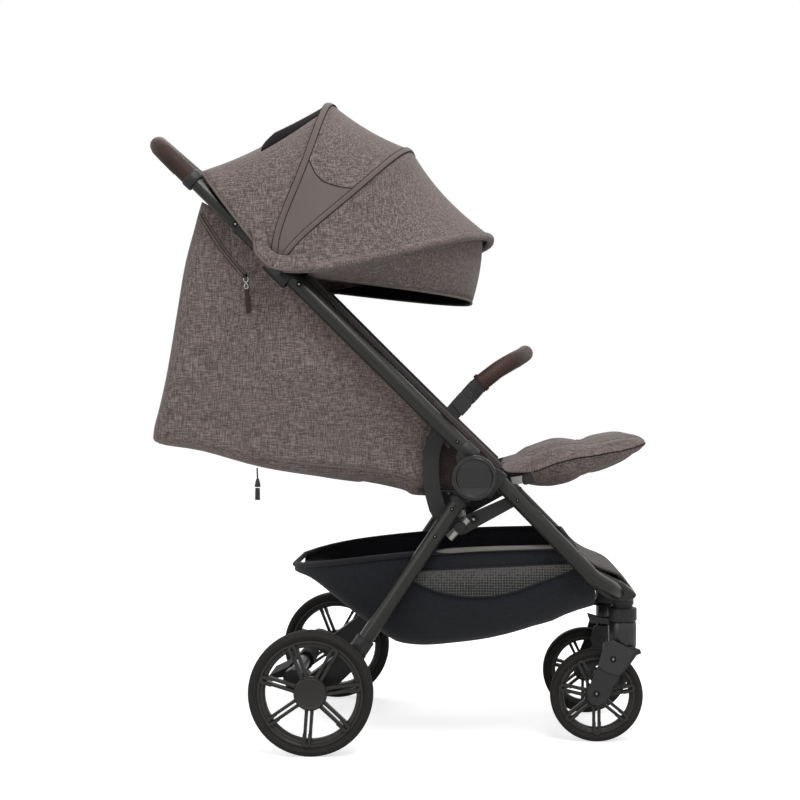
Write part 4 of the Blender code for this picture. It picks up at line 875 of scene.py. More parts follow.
def makeArmBar(skins):
    points, mouth, way = armRoute()
    route = rounded(points, 6)
    first = 7
    grip = frozen(tube("armGrip", route[first:-first], armSizes["gripR"], skins["leather"], fine=10))
    grip.data.shade_smooth()
    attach(grip, "arm_bar")
    dress(grip, "arm_bar_grip")
    low = []
    for k in range(first, len(route) - first):
        ahead = (route[min(k + 1, len(route) - 1)] - route[k - 1]).normalized()
        under = (Vector((0, 0, -1)) - ahead * ahead.dot(Vector((0, 0, -1)))).normalized()
        low.append(route[k] + under * (armSizes["gripR"] + 0.0002))
    tube("armGripSeam", low, 0.0005, skins["thread"], "arm_bar", fine=2)
    parts = []
    cuffs = []
    for label, tag, side in sides():
        spot = Vector((mouth.x, side * mouth.y, mouth.z))
        end = Vector((route[first].x, side * abs(route[first].y), route[first].z))
        turn = end - Vector((route[first - 1].x, side * abs(route[first - 1].y), route[first - 1].z))
        collar = [(0.01, -0.0016), (0.0148, -0.0016), (0.0155, -0.0006), (0.0155, 0.0012), (0.0149, 0.0018),
                  (0.0149, 0.0022), (0.0153, 0.0026), (0.0153, 0.004), (0.0146, 0.005), (0.0126, 0.0054),
                  (0.01, 0.0054)]
        cuffs.append(lathe("armCuff" + label, collar, end, turn.normalized(), skins["leather"], steps=64))
        # the flat adapter that clicks into the bracket
        cross = Vector((-way.z, 0, way.x))
        rows = []
        neck = armSizes["neck"]
        for reach, half, thick in ((0.0008, neck - 0.0006, 0.007), (0.006, neck, 0.0074),
                                   (0.018, neck, 0.008), (0.0245, neck - 0.0002, 0.0092),
                                   (0.03, neck - 0.0018, 0.0105), (0.033, neck - 0.003, 0.0108)):
            row = []
            for k in range(16):
                t = 2 * pi * k / 16
                row.append(spot + way * reach + cross * (half * squared(cos(t)))
                           + Vector((0, thick * squared(sin(t)), 0)))
            rows.append(row)
        parts.append(gridMesh("armAdapter" + label, rows, skins["plastic"], None, True, True, angle=40))
    dress(shade(joined("armBar", parts, skins["plastic"], "arm_bar"), 40), "arm_bar")
    joined("armCuffs", cuffs, skins["leather"], "arm_bar")
    for label, tag, side in sides():
        spot = Vector((mouth.x, side * mouth.y, mouth.z))
        cross = Vector((-way.z, 0, way.x))
        y = 0.0082 * side
        # a dark lower plate with a raised step and button, and a groove under the cuff
        wide = armSizes["neck"]
        for name, corners, rise, skin in (
                ("armPlate", ((-0.02, -wide), (0.0015, -wide), (0.0015, -0.007), (0.0075, -0.0052),
                              (0.0125, -0.0048), (0.0125, 0.0048), (0.007, 0.0056), (-0.0035, wide),
                              (-0.024, wide)), 0.0008, "gloss"),
                ("armButton", ((0.004, -0.0042), (0.0112, -0.0042), (0.0112, 0.0042), (0.004, 0.0042)),
                 0.0018, "plastic"),
                ("armGroove", ((0.0182, -wide), (0.0192, -wide), (0.0192, wide), (0.0182, wide)), 0.0009,
                 "gloss")):
            corners = [spot + way * a + cross * -b for a, b in corners]
            prism(name + label, [(p.x, p.z) for p in corners], spot.y + y * 0.7, spot.y + y + side * rise,
                  skins[skin], "arm_bar", 0.0004)


# Canopy
canopySizes = {
    "rear": (128.3, 0.2066, 0.2262, 5.5, 3.2, 2), "main": (75.1, 0.2812, 0.227, 4.5, 36.0, 4),
    "mid": (45.0, 0.2798, 0.2345, 4.5, 25.0, 4), "front": (11.5, 0.3325, 0.242, 2.7, -13.0, 2),
    "flap": (-7.0, 0.2985, 0.175, 3.0, 0.0, 2), "sags": (0.0095, 0.006, 0.0105), "cloth": 0.0016,
    "bow": 0.0033, "out": 0.0045, "across": 16, "along": 28, "cornerTurn": 55.0, "cornerLift": 0.24,
    "mainBand": 0.0042, "midBand": 0.0034, "band": 0.0062, "brim": 0.0066, "vent": 0.009,
}


def bowPoint(edge, lift, out=0.0, turn=0.0):
    # lift runs from 0 at the pivot to 1 at the crown, in the bow's own plane
    angle, reach, half, power, bend, curl = edge
    t = radians(angle + bend * (1 - lift) ** curl + turn)
    r = (reach + out) * lift
    y = (half + out) * max(0.0, 1 - lift ** power) ** (1 / power)
    return Vector((lines["pivot"][0] + r * cos(t), y, lines["pivot"][1] + r * sin(t)))


def turnFor(edge, lift, width):
    return degrees(width / max(edge[1] * lift, 0.022))


def cornerTurn(lift):
    # the rear edge curls down round the pivot
    low = canopySizes["cornerLift"]
    return canopySizes["cornerTurn"] * max(0.0, (low - lift) / low) ** 1.6


def panelPoint(a, b, v, lift, sag, out, corner=False):
    near = bowPoint(a, lift, out, cornerTurn(lift) if corner else 0.0)
    spot = near.lerp(bowPoint(b, lift, out), v)
    draw = sag * 4 * v * (1 - v)
    away = Vector((spot.x - lines["pivot"][0], 0, spot.z - lines["pivot"][1])).normalized()
    return spot - away * draw * lift - Vector((0, 0.4 * draw * min(1.0, spot.y / 0.05), 0))


def liftSteps(first, count):
    return [first + (1 - first) * sin(pi / 2 * k / count) for k in range(count + 1)]


def fullRow(half):
    return mirrored(half) + half[-2::-1]


def bowRow(edge, lifts, out=0.0, width=0.0):
    return fullRow([bowPoint(edge, lift, out, turnFor(edge, lift, width)) for lift in lifts])


def panelRows(a, b, sag, lifts, out, corner=False, last=1.0, steps=canopySizes["across"]):
    return [fullRow([panelPoint(a, b, last * k / steps, lift, sag, out, corner) for lift in lifts])
            for k in range(steps + 1)]


def spread(thing, bodies, a, b):
    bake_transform(thing, bodies[0], bodies[1], start=bowPoint(a, 1.0), end=bowPoint(b, 1.0))


def finishPanel(made, bodies, nodes, a, b):
    made = frozen(made)
    spread(made, bodies, a, b)
    dress(made, nodes[0])


def makeBand(name, edge, width, body, skins):
    # the strip that holds a bow, sewn down along both sides; the dark seam lines are stitching and also stand
    # for the shade along the band's edges, painted shade
    strip = []
    for share in (-1, -0.92, -0.5, 0, 0.5, 0.92, 1):
        lift = canopySizes["band"] - (0.0016 if abs(share) == 1 else 0.0006 * share * share)
        strip.append(bowRow(edge, liftSteps(0.06, 34), lift, share * width))
    gridMesh(name + "Binding", strip, skins["binding"], body, thick=0.001)
    for share in (-1, 1):
        row = bowRow(edge, liftSteps(0.06, 34), canopySizes["out"] + 0.0006, share * (width + 0.0006))
        tube(name + "Seam%d" % (share > 0), row, 0.0008, skins["thread"], body, fine=2)


def windowBound(v):
    # how far the smooth triangle reaches from the pivot, measured across the panel
    return heightAt(flat(((0.0, 0.177), (0.25, 0.1625), (0.45, 0.158), (0.7, 0.161), (1.0, 0.169))), v)


def makeCanopy(skins):
    rear, main, mid, front, flap = [canopySizes[k] for k in ("rear", "main", "mid", "front", "flap")]
    sags, out, cloth = canopySizes["sags"], canopySizes["out"], canopySizes["cloth"]
    lifts = liftSteps(0.04, canopySizes["along"])
    rows = panelRows(rear, main, sags[0], lifts, out, True)
    panel = gridMesh("canopyRear", rows, skins["tweed"], thick=cloth)
    finishPanel(panel, ("upper_frame", "main_bow"), ("canopy_rear_panel", "main_bow"), rear, main)
    rearEdge = rows[0]
    # middle panel with a smooth triangle on each side, up to a dipped edge
    rows, marks = [], []
    steps = canopySizes["across"]
    for k in range(steps + 1):
        v = k / steps
        bound = windowBound(v) / (main[1] + (mid[1] - main[1]) * v)
        some = [0.04 + (bound - 0.04) * j / 10 for j in range(11)]
        some += [bound + (1 - bound) * sin(pi / 2 * j / 16) for j in range(1, 17)]
        rows.append(fullRow([panelPoint(main, mid, v, lift, sags[1], out) for lift in some]))
        marks.append(panelPoint(main, mid, v, bound, sags[1], out + 0.0009))
    panel = gridMesh("canopyMiddle", rows, skins["tweed"], thick=cloth)
    panel.data.materials.append(skins["window"])
    n = len(rows[0])
    for face in panel.data.polygons:
        spot = min(face.vertices[j] % n for j in range(4))
        if spot < 10 or spot >= n - 11:
            face.material_index = 1
    finishPanel(panel, ("main_bow", "mid_bow"), ("canopy_middle_panel", "mid_bow"), main, mid)
    for label, tag, side in sides():
        seam = [Vector((p.x, side * p.y, p.z)) for p in marks]
        spread(frozen(tube("windowSeam" + label, seam, 0.0008, skins["thread"], fine=2)),
               ("main_bow", "mid_bow"), main, mid)
    panel = gridMesh("canopyFront", panelRows(mid, front, sags[2], lifts, out), skins["tweed"], thick=cloth)
    finishPanel(panel, ("mid_bow", "front_bow"), ("canopy_front_panel", "front_bow"), mid, front)
    # the flap hangs inside the front bow, with a dark lining that shows along its edge
    inner = (front[0] + 0.3, front[1] - 0.012, front[2] - 0.008) + front[3:]
    few = liftSteps(0.14, 28)
    panel = gridMesh("canopyFlap", panelRows(inner, flap, -0.004, few, 0.0, steps=10), skins["tweed"],
                     thick=cloth)
    finishPanel(panel, ("front_bow", "flap"), ("canopy_flap", "front_bow"), front, flap)
    rows = panelRows(inner, flap, -0.004, few, -0.003, last=0.985, steps=10)
    panel = frozen(gridMesh("flapLining", rows, skins["lining"], thick=0.001))
    spread(panel, ("front_bow", "flap"), front, flap)
    tube("flapHem", bowRow(flap, few), 0.002, skins["binding"], "flap", fine=3)
    makeBand("mainBow", main, canopySizes["mainBand"], "main_bow", skins)
    makeBand("midBow", mid, canopySizes["midBand"], "mid_bow", skins)
    # the front edge is a fat soft brim
    some = liftSteps(0.03, 36)
    width = [0.5 + 0.5 * min(1.0, lift / 0.1) for lift in some]
    row = bowRow(front, some, 0.0015)
    tube("canopyBrim", row, canopySizes["brim"], skins["tweed"], "front_bow", fine=7,
         radii=width + width[-2::-1])
    tube("rearHem", rearEdge, 0.0019, skins["binding"], "upper_frame", fine=3)
    # a rounded corner of cloth on each side, where the bows meet over the pivot
    for label, tag, side in sides():
        rim = rounded([Vector((x, side * y, z)) for x, y, z in (
            (-0.231, 0.2325, 0.801), (-0.2262, 0.2345, 0.7868), (-0.2243, 0.237, 0.7668),
            (-0.2165, 0.241, 0.756), (-0.2026, 0.246, 0.7437), (-0.1945, 0.248, 0.739),
            (-0.1794, 0.25, 0.7359), (-0.1578, 0.2505, 0.7352), (-0.13, 0.25, 0.7395))], 4)
        rows = [rim]
        for share in (0.2, 0.45, 0.75, 1.0):
            rows.append([p.lerp(Vector((-0.178, side * (abs(p.y) - 0.006 * share), 0.788)), 0.42 * share)
                         for p in rim])
        gridMesh("canopyCorner" + label, rows, skins["tweed"], "main_bow", thick=0.0014)
        tube("cornerHem" + label, rim, 0.0016, skins["binding"], "main_bow", fine=3)
    # the three bows are inside the cloth
    for name, node, edge in (("mainBow", "main_bow", main), ("midBow", "mid_bow", mid),
                             ("frontBow", "front_bow", front)):
        dress(tube(name, bowRow(edge, liftSteps(0.02, 30)), canopySizes["bow"], skins["plastic"], node,
                   fine=4),
              node)
    # dark vent roll behind the crown
    rows = []
    for k in range(15):
        share = k / 14
        v = 0.47 + 0.5 * share
        bulge = canopySizes["vent"] * min(1.0, (share / 0.22) ** 0.7) * (1 - 0.95 * max(0.0,
                                                                                        share - 0.22) / 0.78)
        some = [0.9 + 0.1 * sin(pi / 2 * j / 10) for j in range(11)]
        rows.append(fullRow([panelPoint(rear, main, v, lift, sags[0], out + 0.0012 + bulge * min(1.0, j / 3))
                             for j, lift in enumerate(some)]))
    vent = frozen(gridMesh("canopyVent", rows, skins["lining"], thick=0.0012))
    spread(vent, ("upper_frame", "main_bow"), rear, main)


# Seat shell
shellSizes = {
    "edge": ((0.034, 0.389), (0.012, 0.391), (-0.004, 0.399), (-0.06, 0.411), (-0.131, 0.419),
             (-0.225, 0.434), (-0.319, 0.4595), (-0.387, 0.471),
             (-0.395, 0.488), (-0.385, 0.53), (-0.373, 0.586), (-0.3575, 0.68), (-0.345, 0.754),
             (-0.327, 0.821), (-0.317, 0.85)),
    "first": 0.065, "last": 0.548, "corner": 0.03, "cloth": 0.0022,
}


def shellRows(steps, ripple):
    edge = rounded(flat(shellSizes["edge"]), steps)
    rows = []
    last = len(edge) - 1
    for k, low in enumerate(edge):
        share = k / last
        reach = shellSizes["first"] + (shellSizes["last"] - shellSizes["first"]) * share
        top = along("upper", reach, 0)
        inner = 0.1635 + 0.0305 * min(1, max(0, (reach - 0.11) / 0.05))
        half = 0.1615 + 0.0165 * min(1, share * 2.5)
        drop = low - top
        depth = drop.length
        way = drop / max(depth, 1e-6)
        bend = min(shellSizes["corner"], depth * 0.3)
        side = []
        for s in (0, 0.05, 0.12, 0.22, 0.35, 0.5, 0.65, 0.8, 0.92):
            d = s * (depth - bend)
            y = inner + (half - inner) * min(1.0, s / 0.62) ** 0.8
            wave = ripple * noise.noise(Vector((low.x * 9 + s * 2, s * 6, low.z * 9))) * sin(pi * s)
            side.append((d, y + wave))
        for t in (0, 18, 36, 54, 72, 90):
            side.append((depth - bend + bend * sin(radians(t)), half - bend + bend * cos(radians(t))))
        side += [(depth, (half - bend) * f) for f in (0.8, 0.6, 0.4, 0.2)]
        row = [Vector((top.x + way.x * d, y, top.z + way.z * d)) for d, y in side]
        middle = top + way * depth
        middle.y = 0.0
        rows.append(mirrored(row) + [middle] + row[::-1])
    return rows


def makeShell(skins):
    rows = shellRows(4, 0.006)
    shell = frozen(gridMesh("seatShell", rows, skins["tweed"], thick=shellSizes["cloth"], angle=75))
    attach(shell, "upper_frame")
    dress(shell, "back_shell")
    foldUp(shell)
    # a welt along each side where the side meets the bottom and the back
    welts = []
    for side in (1, -1):
        edge = [r[10] if side < 0 else r[-11] for r in rows[:22]]
        welts.append(tube("welt%d" % side, [p + Vector((0, side * 0.0022, 0)) for p in edge], 0.0013,
                          skins["binding"], fine=2))
    things = [joined("shellWelts", welts, skins["binding"])]
    # curved zip on each side, with its tapes, slider and leather pull
    for label, tag, side in sides():
        path = rounded(flat(((-0.318, 0.83), (-0.312, 0.819), (-0.3, 0.801), (-0.283, 0.775),
                             (-0.265, 0.753), (-0.247, 0.732))), 6)
        for name, shift, radius, skin, out in (
                ("zipBand", 0.0, 0.0036, "binding", -0.0022), ("zipLow", -0.0044, 0.0007, "side", 0.0),
                ("zipHigh", 0.0044, 0.0007, "side", 0.0), ("zipTeeth", 0.0, 0.0008, "side", 0.0013)):
            moved = []
            for k, spot in enumerate(path):
                ahead = aheadAt(path, k)
                moved.append(spot + Vector((-ahead.z, 0, ahead.x)) * shift)
            line = rayDown(shell, [(q.x, side * 0.4, q.z) for q in moved], (0, -side, 0), out)
            if len(line) > 3:
                things.append(tube(name + label, line, radius, skins[skin], fine=2))
        y = side * 0.1895
        for name, x, z, wide, tall, thick in (("zipRingHigh", -0.2441, 0.7265, 0.0036, 0.0046, 0.0011),
                                              ("zipRingLow", -0.2437, 0.7155, 0.003, 0.004, 0.001)):
            ring = [Vector((x + wide * cos(2 * pi * k / 20), y,
                            z + tall * sin(2 * pi * k / 20))) for k in range(20)]
            things.append(tube(name + label, ring, thick, skins["bright"], closed=True, fine=3))
        things.append(tube("zipSlider" + label, [(-0.246, y, 0.7345), (-0.2448, y, 0.729)], 0.0034,
                           skins["steel"], fine=4))
        pull = [(-0.2458, 0.712), (-0.2412, 0.712), (-0.2385, 0.702), (-0.2365, 0.679), (-0.2375, 0.6745),
                (-0.242, 0.6745), (-0.2435, 0.679), (-0.2455, 0.702)]
        things.append(prism("zipPull" + label, pull, y - 0.0011, y + 0.0011, skins["leather"], edge=0.0008))
    foldUp(shade(joined("shellTrim", things, body="upper_frame"), 50))
    # ribbed bound edge of the seat sides, just above the tubes, with a fine piping. The upper length takes
    # the near-black copy of the rib as painted shade, the part by the hub the taupe rib.
    cross = Vector((0.7034, 0, 0.7108))
    for label, tag, side in sides():
        for name, first, last, skin in (("seatWing", 0.126, 0.405, "ribShaded"),
                                        ("seatWingLow", -0.019, 0.127, "rib")):
            rows = []
            for k in range(25):
                reach = first + (last - first) * k / 24
                base = along("upper", reach, side, 0)
                rise = 0.0215 + 0.0014 * max(0.0, (0.11 - reach) / 0.12) + 0.001 * max(0.0,
                                                                                        (reach - 0.25) / 0.15)
                rows.append([base + cross * (rise + d) + Vector((0, side * y, 0)) for d, y in (
                    (-0.028, 0.1835), (-0.014, 0.185), (-0.0045, 0.1848), (-0.0012, 0.1832), (0.0, 0.18),
                    (-0.0014, 0.1765), (-0.006, 0.1735), (-0.018, 0.17))])
            wing = frozen(gridMesh(name + label, rows, skins[skin], thick=0.0016))
            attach(wing, "upper_frame")
        line = [along("upper", -0.012 + 0.417 * k / 40, side,
                      0) + cross * 0.015 + Vector((0, side * 0.1866, 0))
                for k in range(41)]
        tube("seatPiping" + label, line, 0.0008, skins["side"], "upper_frame", fine=2)
        # the shaded side of the seat, between the tube and the cushion
        rows = []
        for k in range(13):
            x = 0.03 + 0.082 * k / 12
            top = 0.525 - 0.985 * (x - 0.012)
            rows.append([Vector((x, side * (0.1625 + 0.004 * sin(pi * j / 6)),
                                 0.3975 + (top - 0.3975) * j / 6))
                         for j in range(7)])
        made = frozen(gridMesh("seatSide" + label, rows, skins["side"], thick=0.0014))
        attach(made, "front_frame")
    # recline cord and its toggle below the shell
    strapRoute = [(-0.2286, -0.175, 0.433), (-0.2284, -0.1752, 0.425), (-0.2278, -0.1755, 0.4165)]
    parts = [tube("strapCord", strapRoute, 0.0012, skins["ribbon"], fine=3)]
    knot = [(0, 0.0), (0.0022, -0.001), (0.0036, -0.006), (0.0046, -0.012), (0.0046, -0.0135), (0, -0.014)]
    parts.append(lathe("toggleCone", knot, (-0.2278, -0.1755, 0.417), (0, 0, 1), skins["plastic"], None, 24))
    tab = [(-0.2315, 0.402), (-0.2243, 0.402), (-0.224, 0.383), (-0.2318, 0.383)]
    parts.append(prism("toggleTab", tab, -0.1772, -0.1738, skins["plastic"], edge=0.001))
    foldUp(shade(joined("reclineToggle", parts, body="upper_frame"), 45))


# Seat and back cushions
seatSizes = {
    "half": 0.154, "backHalf": 0.14, "legHalf": 0.1485, "voxel": 0.005, "pressure": 4.0, "puff": 0.006,
    "shrink": -0.03, "frames": 20,
    "top": ((0.146, 0.436), (0.12, 0.4415), (0.07, 0.436), (0.02, 0.429), (-0.02, 0.427),
            (-0.033, 0.421)),
    "bottom": ((-0.035, 0.408), (0.0, 0.4035), (0.03, 0.3995), (0.125, 0.3995), (0.144, 0.41)),
    "backUnder": ((-0.064, 0.4065), (-0.131, 0.415), (-0.225, 0.435), (-0.319, 0.4601), (-0.358, 0.4676)),
    "backOver": ((-0.357, 0.485), (-0.325, 0.493), (-0.233, 0.467), (-0.137, 0.447), (-0.07, 0.432)),
    "legTop": ((0.15, 0.4372), (0.1537, 0.4385), (0.1858, 0.4473), (0.2209, 0.4595), (0.2336, 0.4642),
               (0.2529, 0.4691), (0.2673, 0.4704), (0.2879, 0.4691), (0.3039, 0.4708), (0.3198, 0.4747),
               (0.3421, 0.4792), (0.3596, 0.4812), (0.374, 0.4808), (0.38, 0.478), (0.384, 0.474)),
    "legSeam": ((0.15, 0.4264), (0.1604, 0.4244), (0.1796, 0.4249), (0.1967, 0.4254), (0.2166, 0.4306),
                (0.2305, 0.4368), (0.2507, 0.443), (0.2737, 0.4485), (0.2968, 0.4515), (0.3198, 0.4559),
                (0.343, 0.4599), (0.3614, 0.4645), (0.376, 0.469), (0.384, 0.4722)),
    "legLow": ((0.15, 0.419), (0.17, 0.412), (0.19, 0.408), (0.2051, 0.4062), (0.213, 0.4047),
               (0.23, 0.407), (0.2439, 0.407), (0.2642, 0.4117), (0.2827, 0.4205), (0.3107, 0.4315),
               (0.3293, 0.4391), (0.3462, 0.447), (0.3602, 0.4545), (0.372, 0.46), (0.38, 0.466),
               (0.384, 0.4716)),
    "legFold": ((0.1895, 0.436), (0.2098, 0.445), (0.2254, 0.453), (0.2424, 0.46), (0.257, 0.466)),
}


def cushion(name, outline, half, skins, slope=0.0):
    # an outline in the side view, whose edges draw in towards the sides
    steps = 18
    ring = rounded(flat(outline + outline[:1]), 4)[:-1]
    cx = sum(p.x for p in ring) / len(ring)
    cz = sum(p.z for p in ring) / len(ring)
    rows = []
    for k in range(-steps, steps + 1):
        share = k / steps
        y = half * sin(pi / 2 * share)
        squeeze = 0.5 + 0.5 * (max(0.0, 1 - abs(share) ** 3.2)) ** 0.5
        row = []
        for p in ring:
            middle = cz + (p.x - cx) * slope
            row.append(Vector((cx + (p.x - cx) * (0.955 + 0.045 * squeeze), y,
                               middle + (p.z - middle) * squeeze)))
        rows.append(row)
    return frozen(gridMesh(name, rows, skins["tweed"], ring=True, capped=True, smoothing=1, angle=80))


def puffed(thing, held):
    # blown up as sewn cloth: the seams and the ends stay where they are
    size = seatSizes
    thick = thing.modifiers.new("grid", "REMESH")
    thick.mode = "VOXEL"
    thick.voxel_size = size["voxel"]
    thing = frozen(thing)
    start = [v.co.copy() for v in thing.data.vertices]
    group = thing.vertex_groups.new(name="held")
    for v in thing.data.vertices:
        weight = held(v.co)
        if weight > 0:
            group.add([v.index], min(1.0, weight), "REPLACE")
    cloth = thing.modifiers.new("cloth", "CLOTH")
    cloth.settings.quality = 6
    cloth.settings.mass = 0.2
    cloth.settings.tension_stiffness = 12
    cloth.settings.compression_stiffness = 12
    cloth.settings.bending_stiffness = 0.4
    cloth.settings.vertex_group_mass = "held"
    cloth.settings.use_pressure = True
    cloth.settings.uniform_pressure_force = size["pressure"]
    cloth.settings.shrink_min = size["shrink"]
    cloth.settings.effector_weights.gravity = 0.0
    cloth.point_cache.frame_start = 1
    cloth.point_cache.frame_end = size["frames"]
    for f in range(1, size["frames"] + 1):
        bpy.context.scene.frame_set(f)
    thing = frozen(thing)
    bpy.context.scene.frame_set(1)
    for v, first in zip(thing.data.vertices, start):
        move = v.co - first
        if move.length > size["puff"]:
            v.co = first + move.normalized() * size["puff"]
    thing.vertex_groups.clear()
    soften(thing, 1)
    thing = frozen(thing)
    thing.data.shade_smooth()
    return thing


def near(value, spots, reach):
    return max([0.0] + [1 - abs(value - s) / reach for s in spots])


def rayDown(thing, origin, way, lift):
    tree = BVHTree.FromPolygons([v.co for v in thing.data.vertices],
                                [p.vertices for p in thing.data.polygons])
    spots = []
    for start in origin:
        hit = tree.ray_cast(Vector(start), Vector(way))
        if hit[0] is not None:
            spots.append(hit[0] - Vector(way).normalized() * lift)
    return spots


def stitch(name, pad, start, end, count, radius, skin, body):
    # a seam pressed onto a cushion from above, straight in plan
    spots = [Vector(start).lerp(Vector(end), k / count) for k in range(count + 1)]
    return tube(name, rayDown(pad, spots, (0, 0, -1), 0.0002), radius, skin, body, fine=2)


def makeSeat(skins):
    size = seatSizes
    pad = cushion("seatCushion", size["top"] + size["bottom"], size["half"], skins)
    pad = puffed(pad, lambda p: max(near(abs(p.y), [size["half"], 0.1], 0.006), near(p.z, [0.3995], 0.006),
                                    near(p.x, [0.045] if abs(p.y) < 0.1 else [], 0.006)))
    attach(pad, "front_frame")
    dress(pad, "seat_pad")
    thread = skins["thread"]
    for side in (-1, 1):
        stitch("seatSeam%d" % (side > 0), pad, (-0.028, side * 0.1, 0.6), (0.138, side * 0.1, 0.6), 30,
               0.0009, thread, "front_frame")
    stitch("seatSeamCross", pad, (0.045, -0.099, 0.6), (0.045, 0.099, 0.6), 24, 0.0009, thread, "front_frame")
    pad = cushion("backCushion", size["backUnder"] + size["backOver"], size["backHalf"], skins, slope=-0.208)
    pad = puffed(pad, lambda p: max(near(abs(p.y), [size["backHalf"], 0.092], 0.006),
                                    1.0 if p.z < 0.4065 - 0.2055 * (p.x + 0.064) + 0.004 else 0.0,
                                    near(p.x, [-0.17] if abs(p.y) < 0.092 else [], 0.006)))
    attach(pad, "backrest")
    dress(pad, "back_pad")
    seams = [stitch("backSeam%d" % (side > 0), pad, (-0.345, side * 0.092, 0.7), (-0.075, side * 0.092, 0.7),
                    40, 0.0009, thread, None) for side in (-1, 1)]
    seams.append(stitch("backSeamCross", pad, (-0.17, -0.091, 0.7), (-0.17, 0.091, 0.7), 24, 0.0009, thread,
                        None))
    seams = [frozen(seam) for seam in seams]
    for seam in seams:
        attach(seam, "backrest")
    for thing in [pad] + seams:
        foldUp(thing)
    makeLegRest(skins)
    makeHarness(skins, pad)


def makeLegRest(skins):
    size = seatSizes
    top, seam, low = [rounded(flat(size[k]), 6) for k in ("legTop", "legSeam", "legLow")]
    rows = []
    for k in range(31):
        x = 0.1535 + (0.383 - 0.1535) * sin(pi / 2 * k / 30) ** 0.9
        high, edge, deep = heightAt(top, x), heightAt(seam, x), heightAt(low, x)
        round = max(0.0, (x - 0.3) / 0.083)
        half = size["legHalf"] * (1 - 0.2 * round ** 3.2)
        crown = 0.003 * (1 - round)
        thin = max(0.0015, edge - deep)
        side = ((0.0, high + crown), (0.45, high + crown * 0.8), (0.72, high),
                (0.86, high - 0.22 * (high - edge)), (0.955, high - 0.62 * (high - edge)),
                (0.998, edge + 0.0022), (1.0, edge), (0.985, edge - min(0.003, thin * 0.4)),
                (0.945, edge - 0.55 * thin), (0.88, edge - 0.92 * thin), (0.78, deep), (0.4, deep - 0.0005))
        row = [Vector((x, half * f, z)) for f, z in side]
        rows.append(row[::-1] + [Vector((x, -p.y, p.z)) for p in row[1:]])
    pad = frozen(gridMesh("legRest", rows, skins["tweed"], ring=True, capped=True, smoothing=1, angle=80))

    def held(p):
        return max(near(p.z, [heightAt(seam, p.x)], 0.005) if abs(p.y) > 0.11 else 0.0,
                   1.0 if p.x < 0.185 else 0.0, near(abs(p.y), [0.105], 0.005),
                   near(p.x, [0.285] if abs(p.y) < 0.105 else [], 0.005), 1.0 if p.x > 0.375 else 0.0)
    pad = puffed(pad, held)
    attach(pad, "leg_rest")
    dress(pad, "leg_rest")
    # the root of the cover spreads over the hinge on each side
    for label, tag, side in sides():
        skirt = []
        for k in range(13):
            x = 0.1455 + 0.053 * k / 12
            lowest = max(heightAt(seam, x) - 0.002, 0.4256 + max(0.0, 0.1604 - x) * 1.02)
            high = heightAt(top, max(x, 0.1535))
            spread = 0.163 - 0.012 * max(0.0, (k - 7) / 5) ** 2
            skirt.append([Vector((x, side * y, z)) for y, z in (
                (0.13, high - 0.0015), (0.145, high - 0.004), (0.156, high - 0.0085),
                (spread, lowest + 0.45 * (high - 0.0085 - lowest)), (spread + 0.0008, lowest + 0.002),
                (spread, lowest))])
        made = frozen(gridMesh("legSkirt" + label, skirt, skins["tweed"], thick=0.0014, smoothing=1))
        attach(made, "leg_rest")
        tube("legSkirtHem" + label, [row[-1] for row in skirt], 0.0012, skins["thread"], "leg_rest", fine=2)
        # the hinge bracket: bright inside, dark outside
        inner = [(0.166, 0.4185), (0.185, 0.4215), (0.185, 0.4085), (0.17, 0.407)]
        outer = [(0.1855, 0.4225), (0.2, 0.425), (0.2042, 0.411), (0.19, 0.4062), (0.1855, 0.408)]
        for name, outline, skin in (("legPlate", inner, "silver"), ("legBlock", outer, "plastic")):
            prism(name + label, outline, side * 0.1515, side * 0.157, skins[skin], "leg_rest", 0.0008)
    route = rounded(seam[::6], 3)
    for label, tag, side in sides():
        line = rayDown(pad, [(p.x, side * 0.4, p.z) for p in route if p.x > 0.2], (0, -side, 0), -0.0002)
        tube("legPiping" + label, line, 0.0012, skins["thread"], "leg_rest", fine=3)
    fold = rounded(flat(size["legFold"]), 6)
    for side in (-1, 1):
        line = rayDown(pad, [(p.x, side * 0.4, p.z) for p in fold], (0, -side, 0), -0.0001)
        tube("legFold%d" % (side > 0), line, 0.0008, skins["tweed"], "leg_rest", fine=2)
        for name, first, last, y, count in (("legSeam", 0.196, 0.366, 0.105, 30),
                                            ("legEdge", 0.31, 0.376, 0.132, 12)):
            stitch(name + "%d" % (side > 0), pad, (first, side * y, 0.6), (last, side * y, 0.6), count,
                   0.0008, skins["tweed"], "leg_rest")
    stitch("legSeamCross", pad, (0.285, -0.104, 0.6), (0.285, 0.104, 0.6), 24, 0.0008, skins["tweed"],
           "leg_rest")


def strap(name, line, width, thick, skin):
    # a flat strap along a line, square to its own way
    rows = []
    across = Vector((0, 1, 0))
    for k, spot in enumerate(line):
        up = aheadAt(line, k).cross(across).normalized() * thick / 2
        wide = across * width / 2
        rows.append([spot - wide + up * 0.4, spot - wide * 0.94 + up, spot + wide * 0.94 + up,
                     spot + wide + up * 0.4, spot + wide - up * 0.4, spot + wide * 0.94 - up,
                     spot - wide * 0.94 - up, spot - wide - up * 0.4])
    return gridMesh(name, rows, skin, ring=True, capped=True, angle=40)


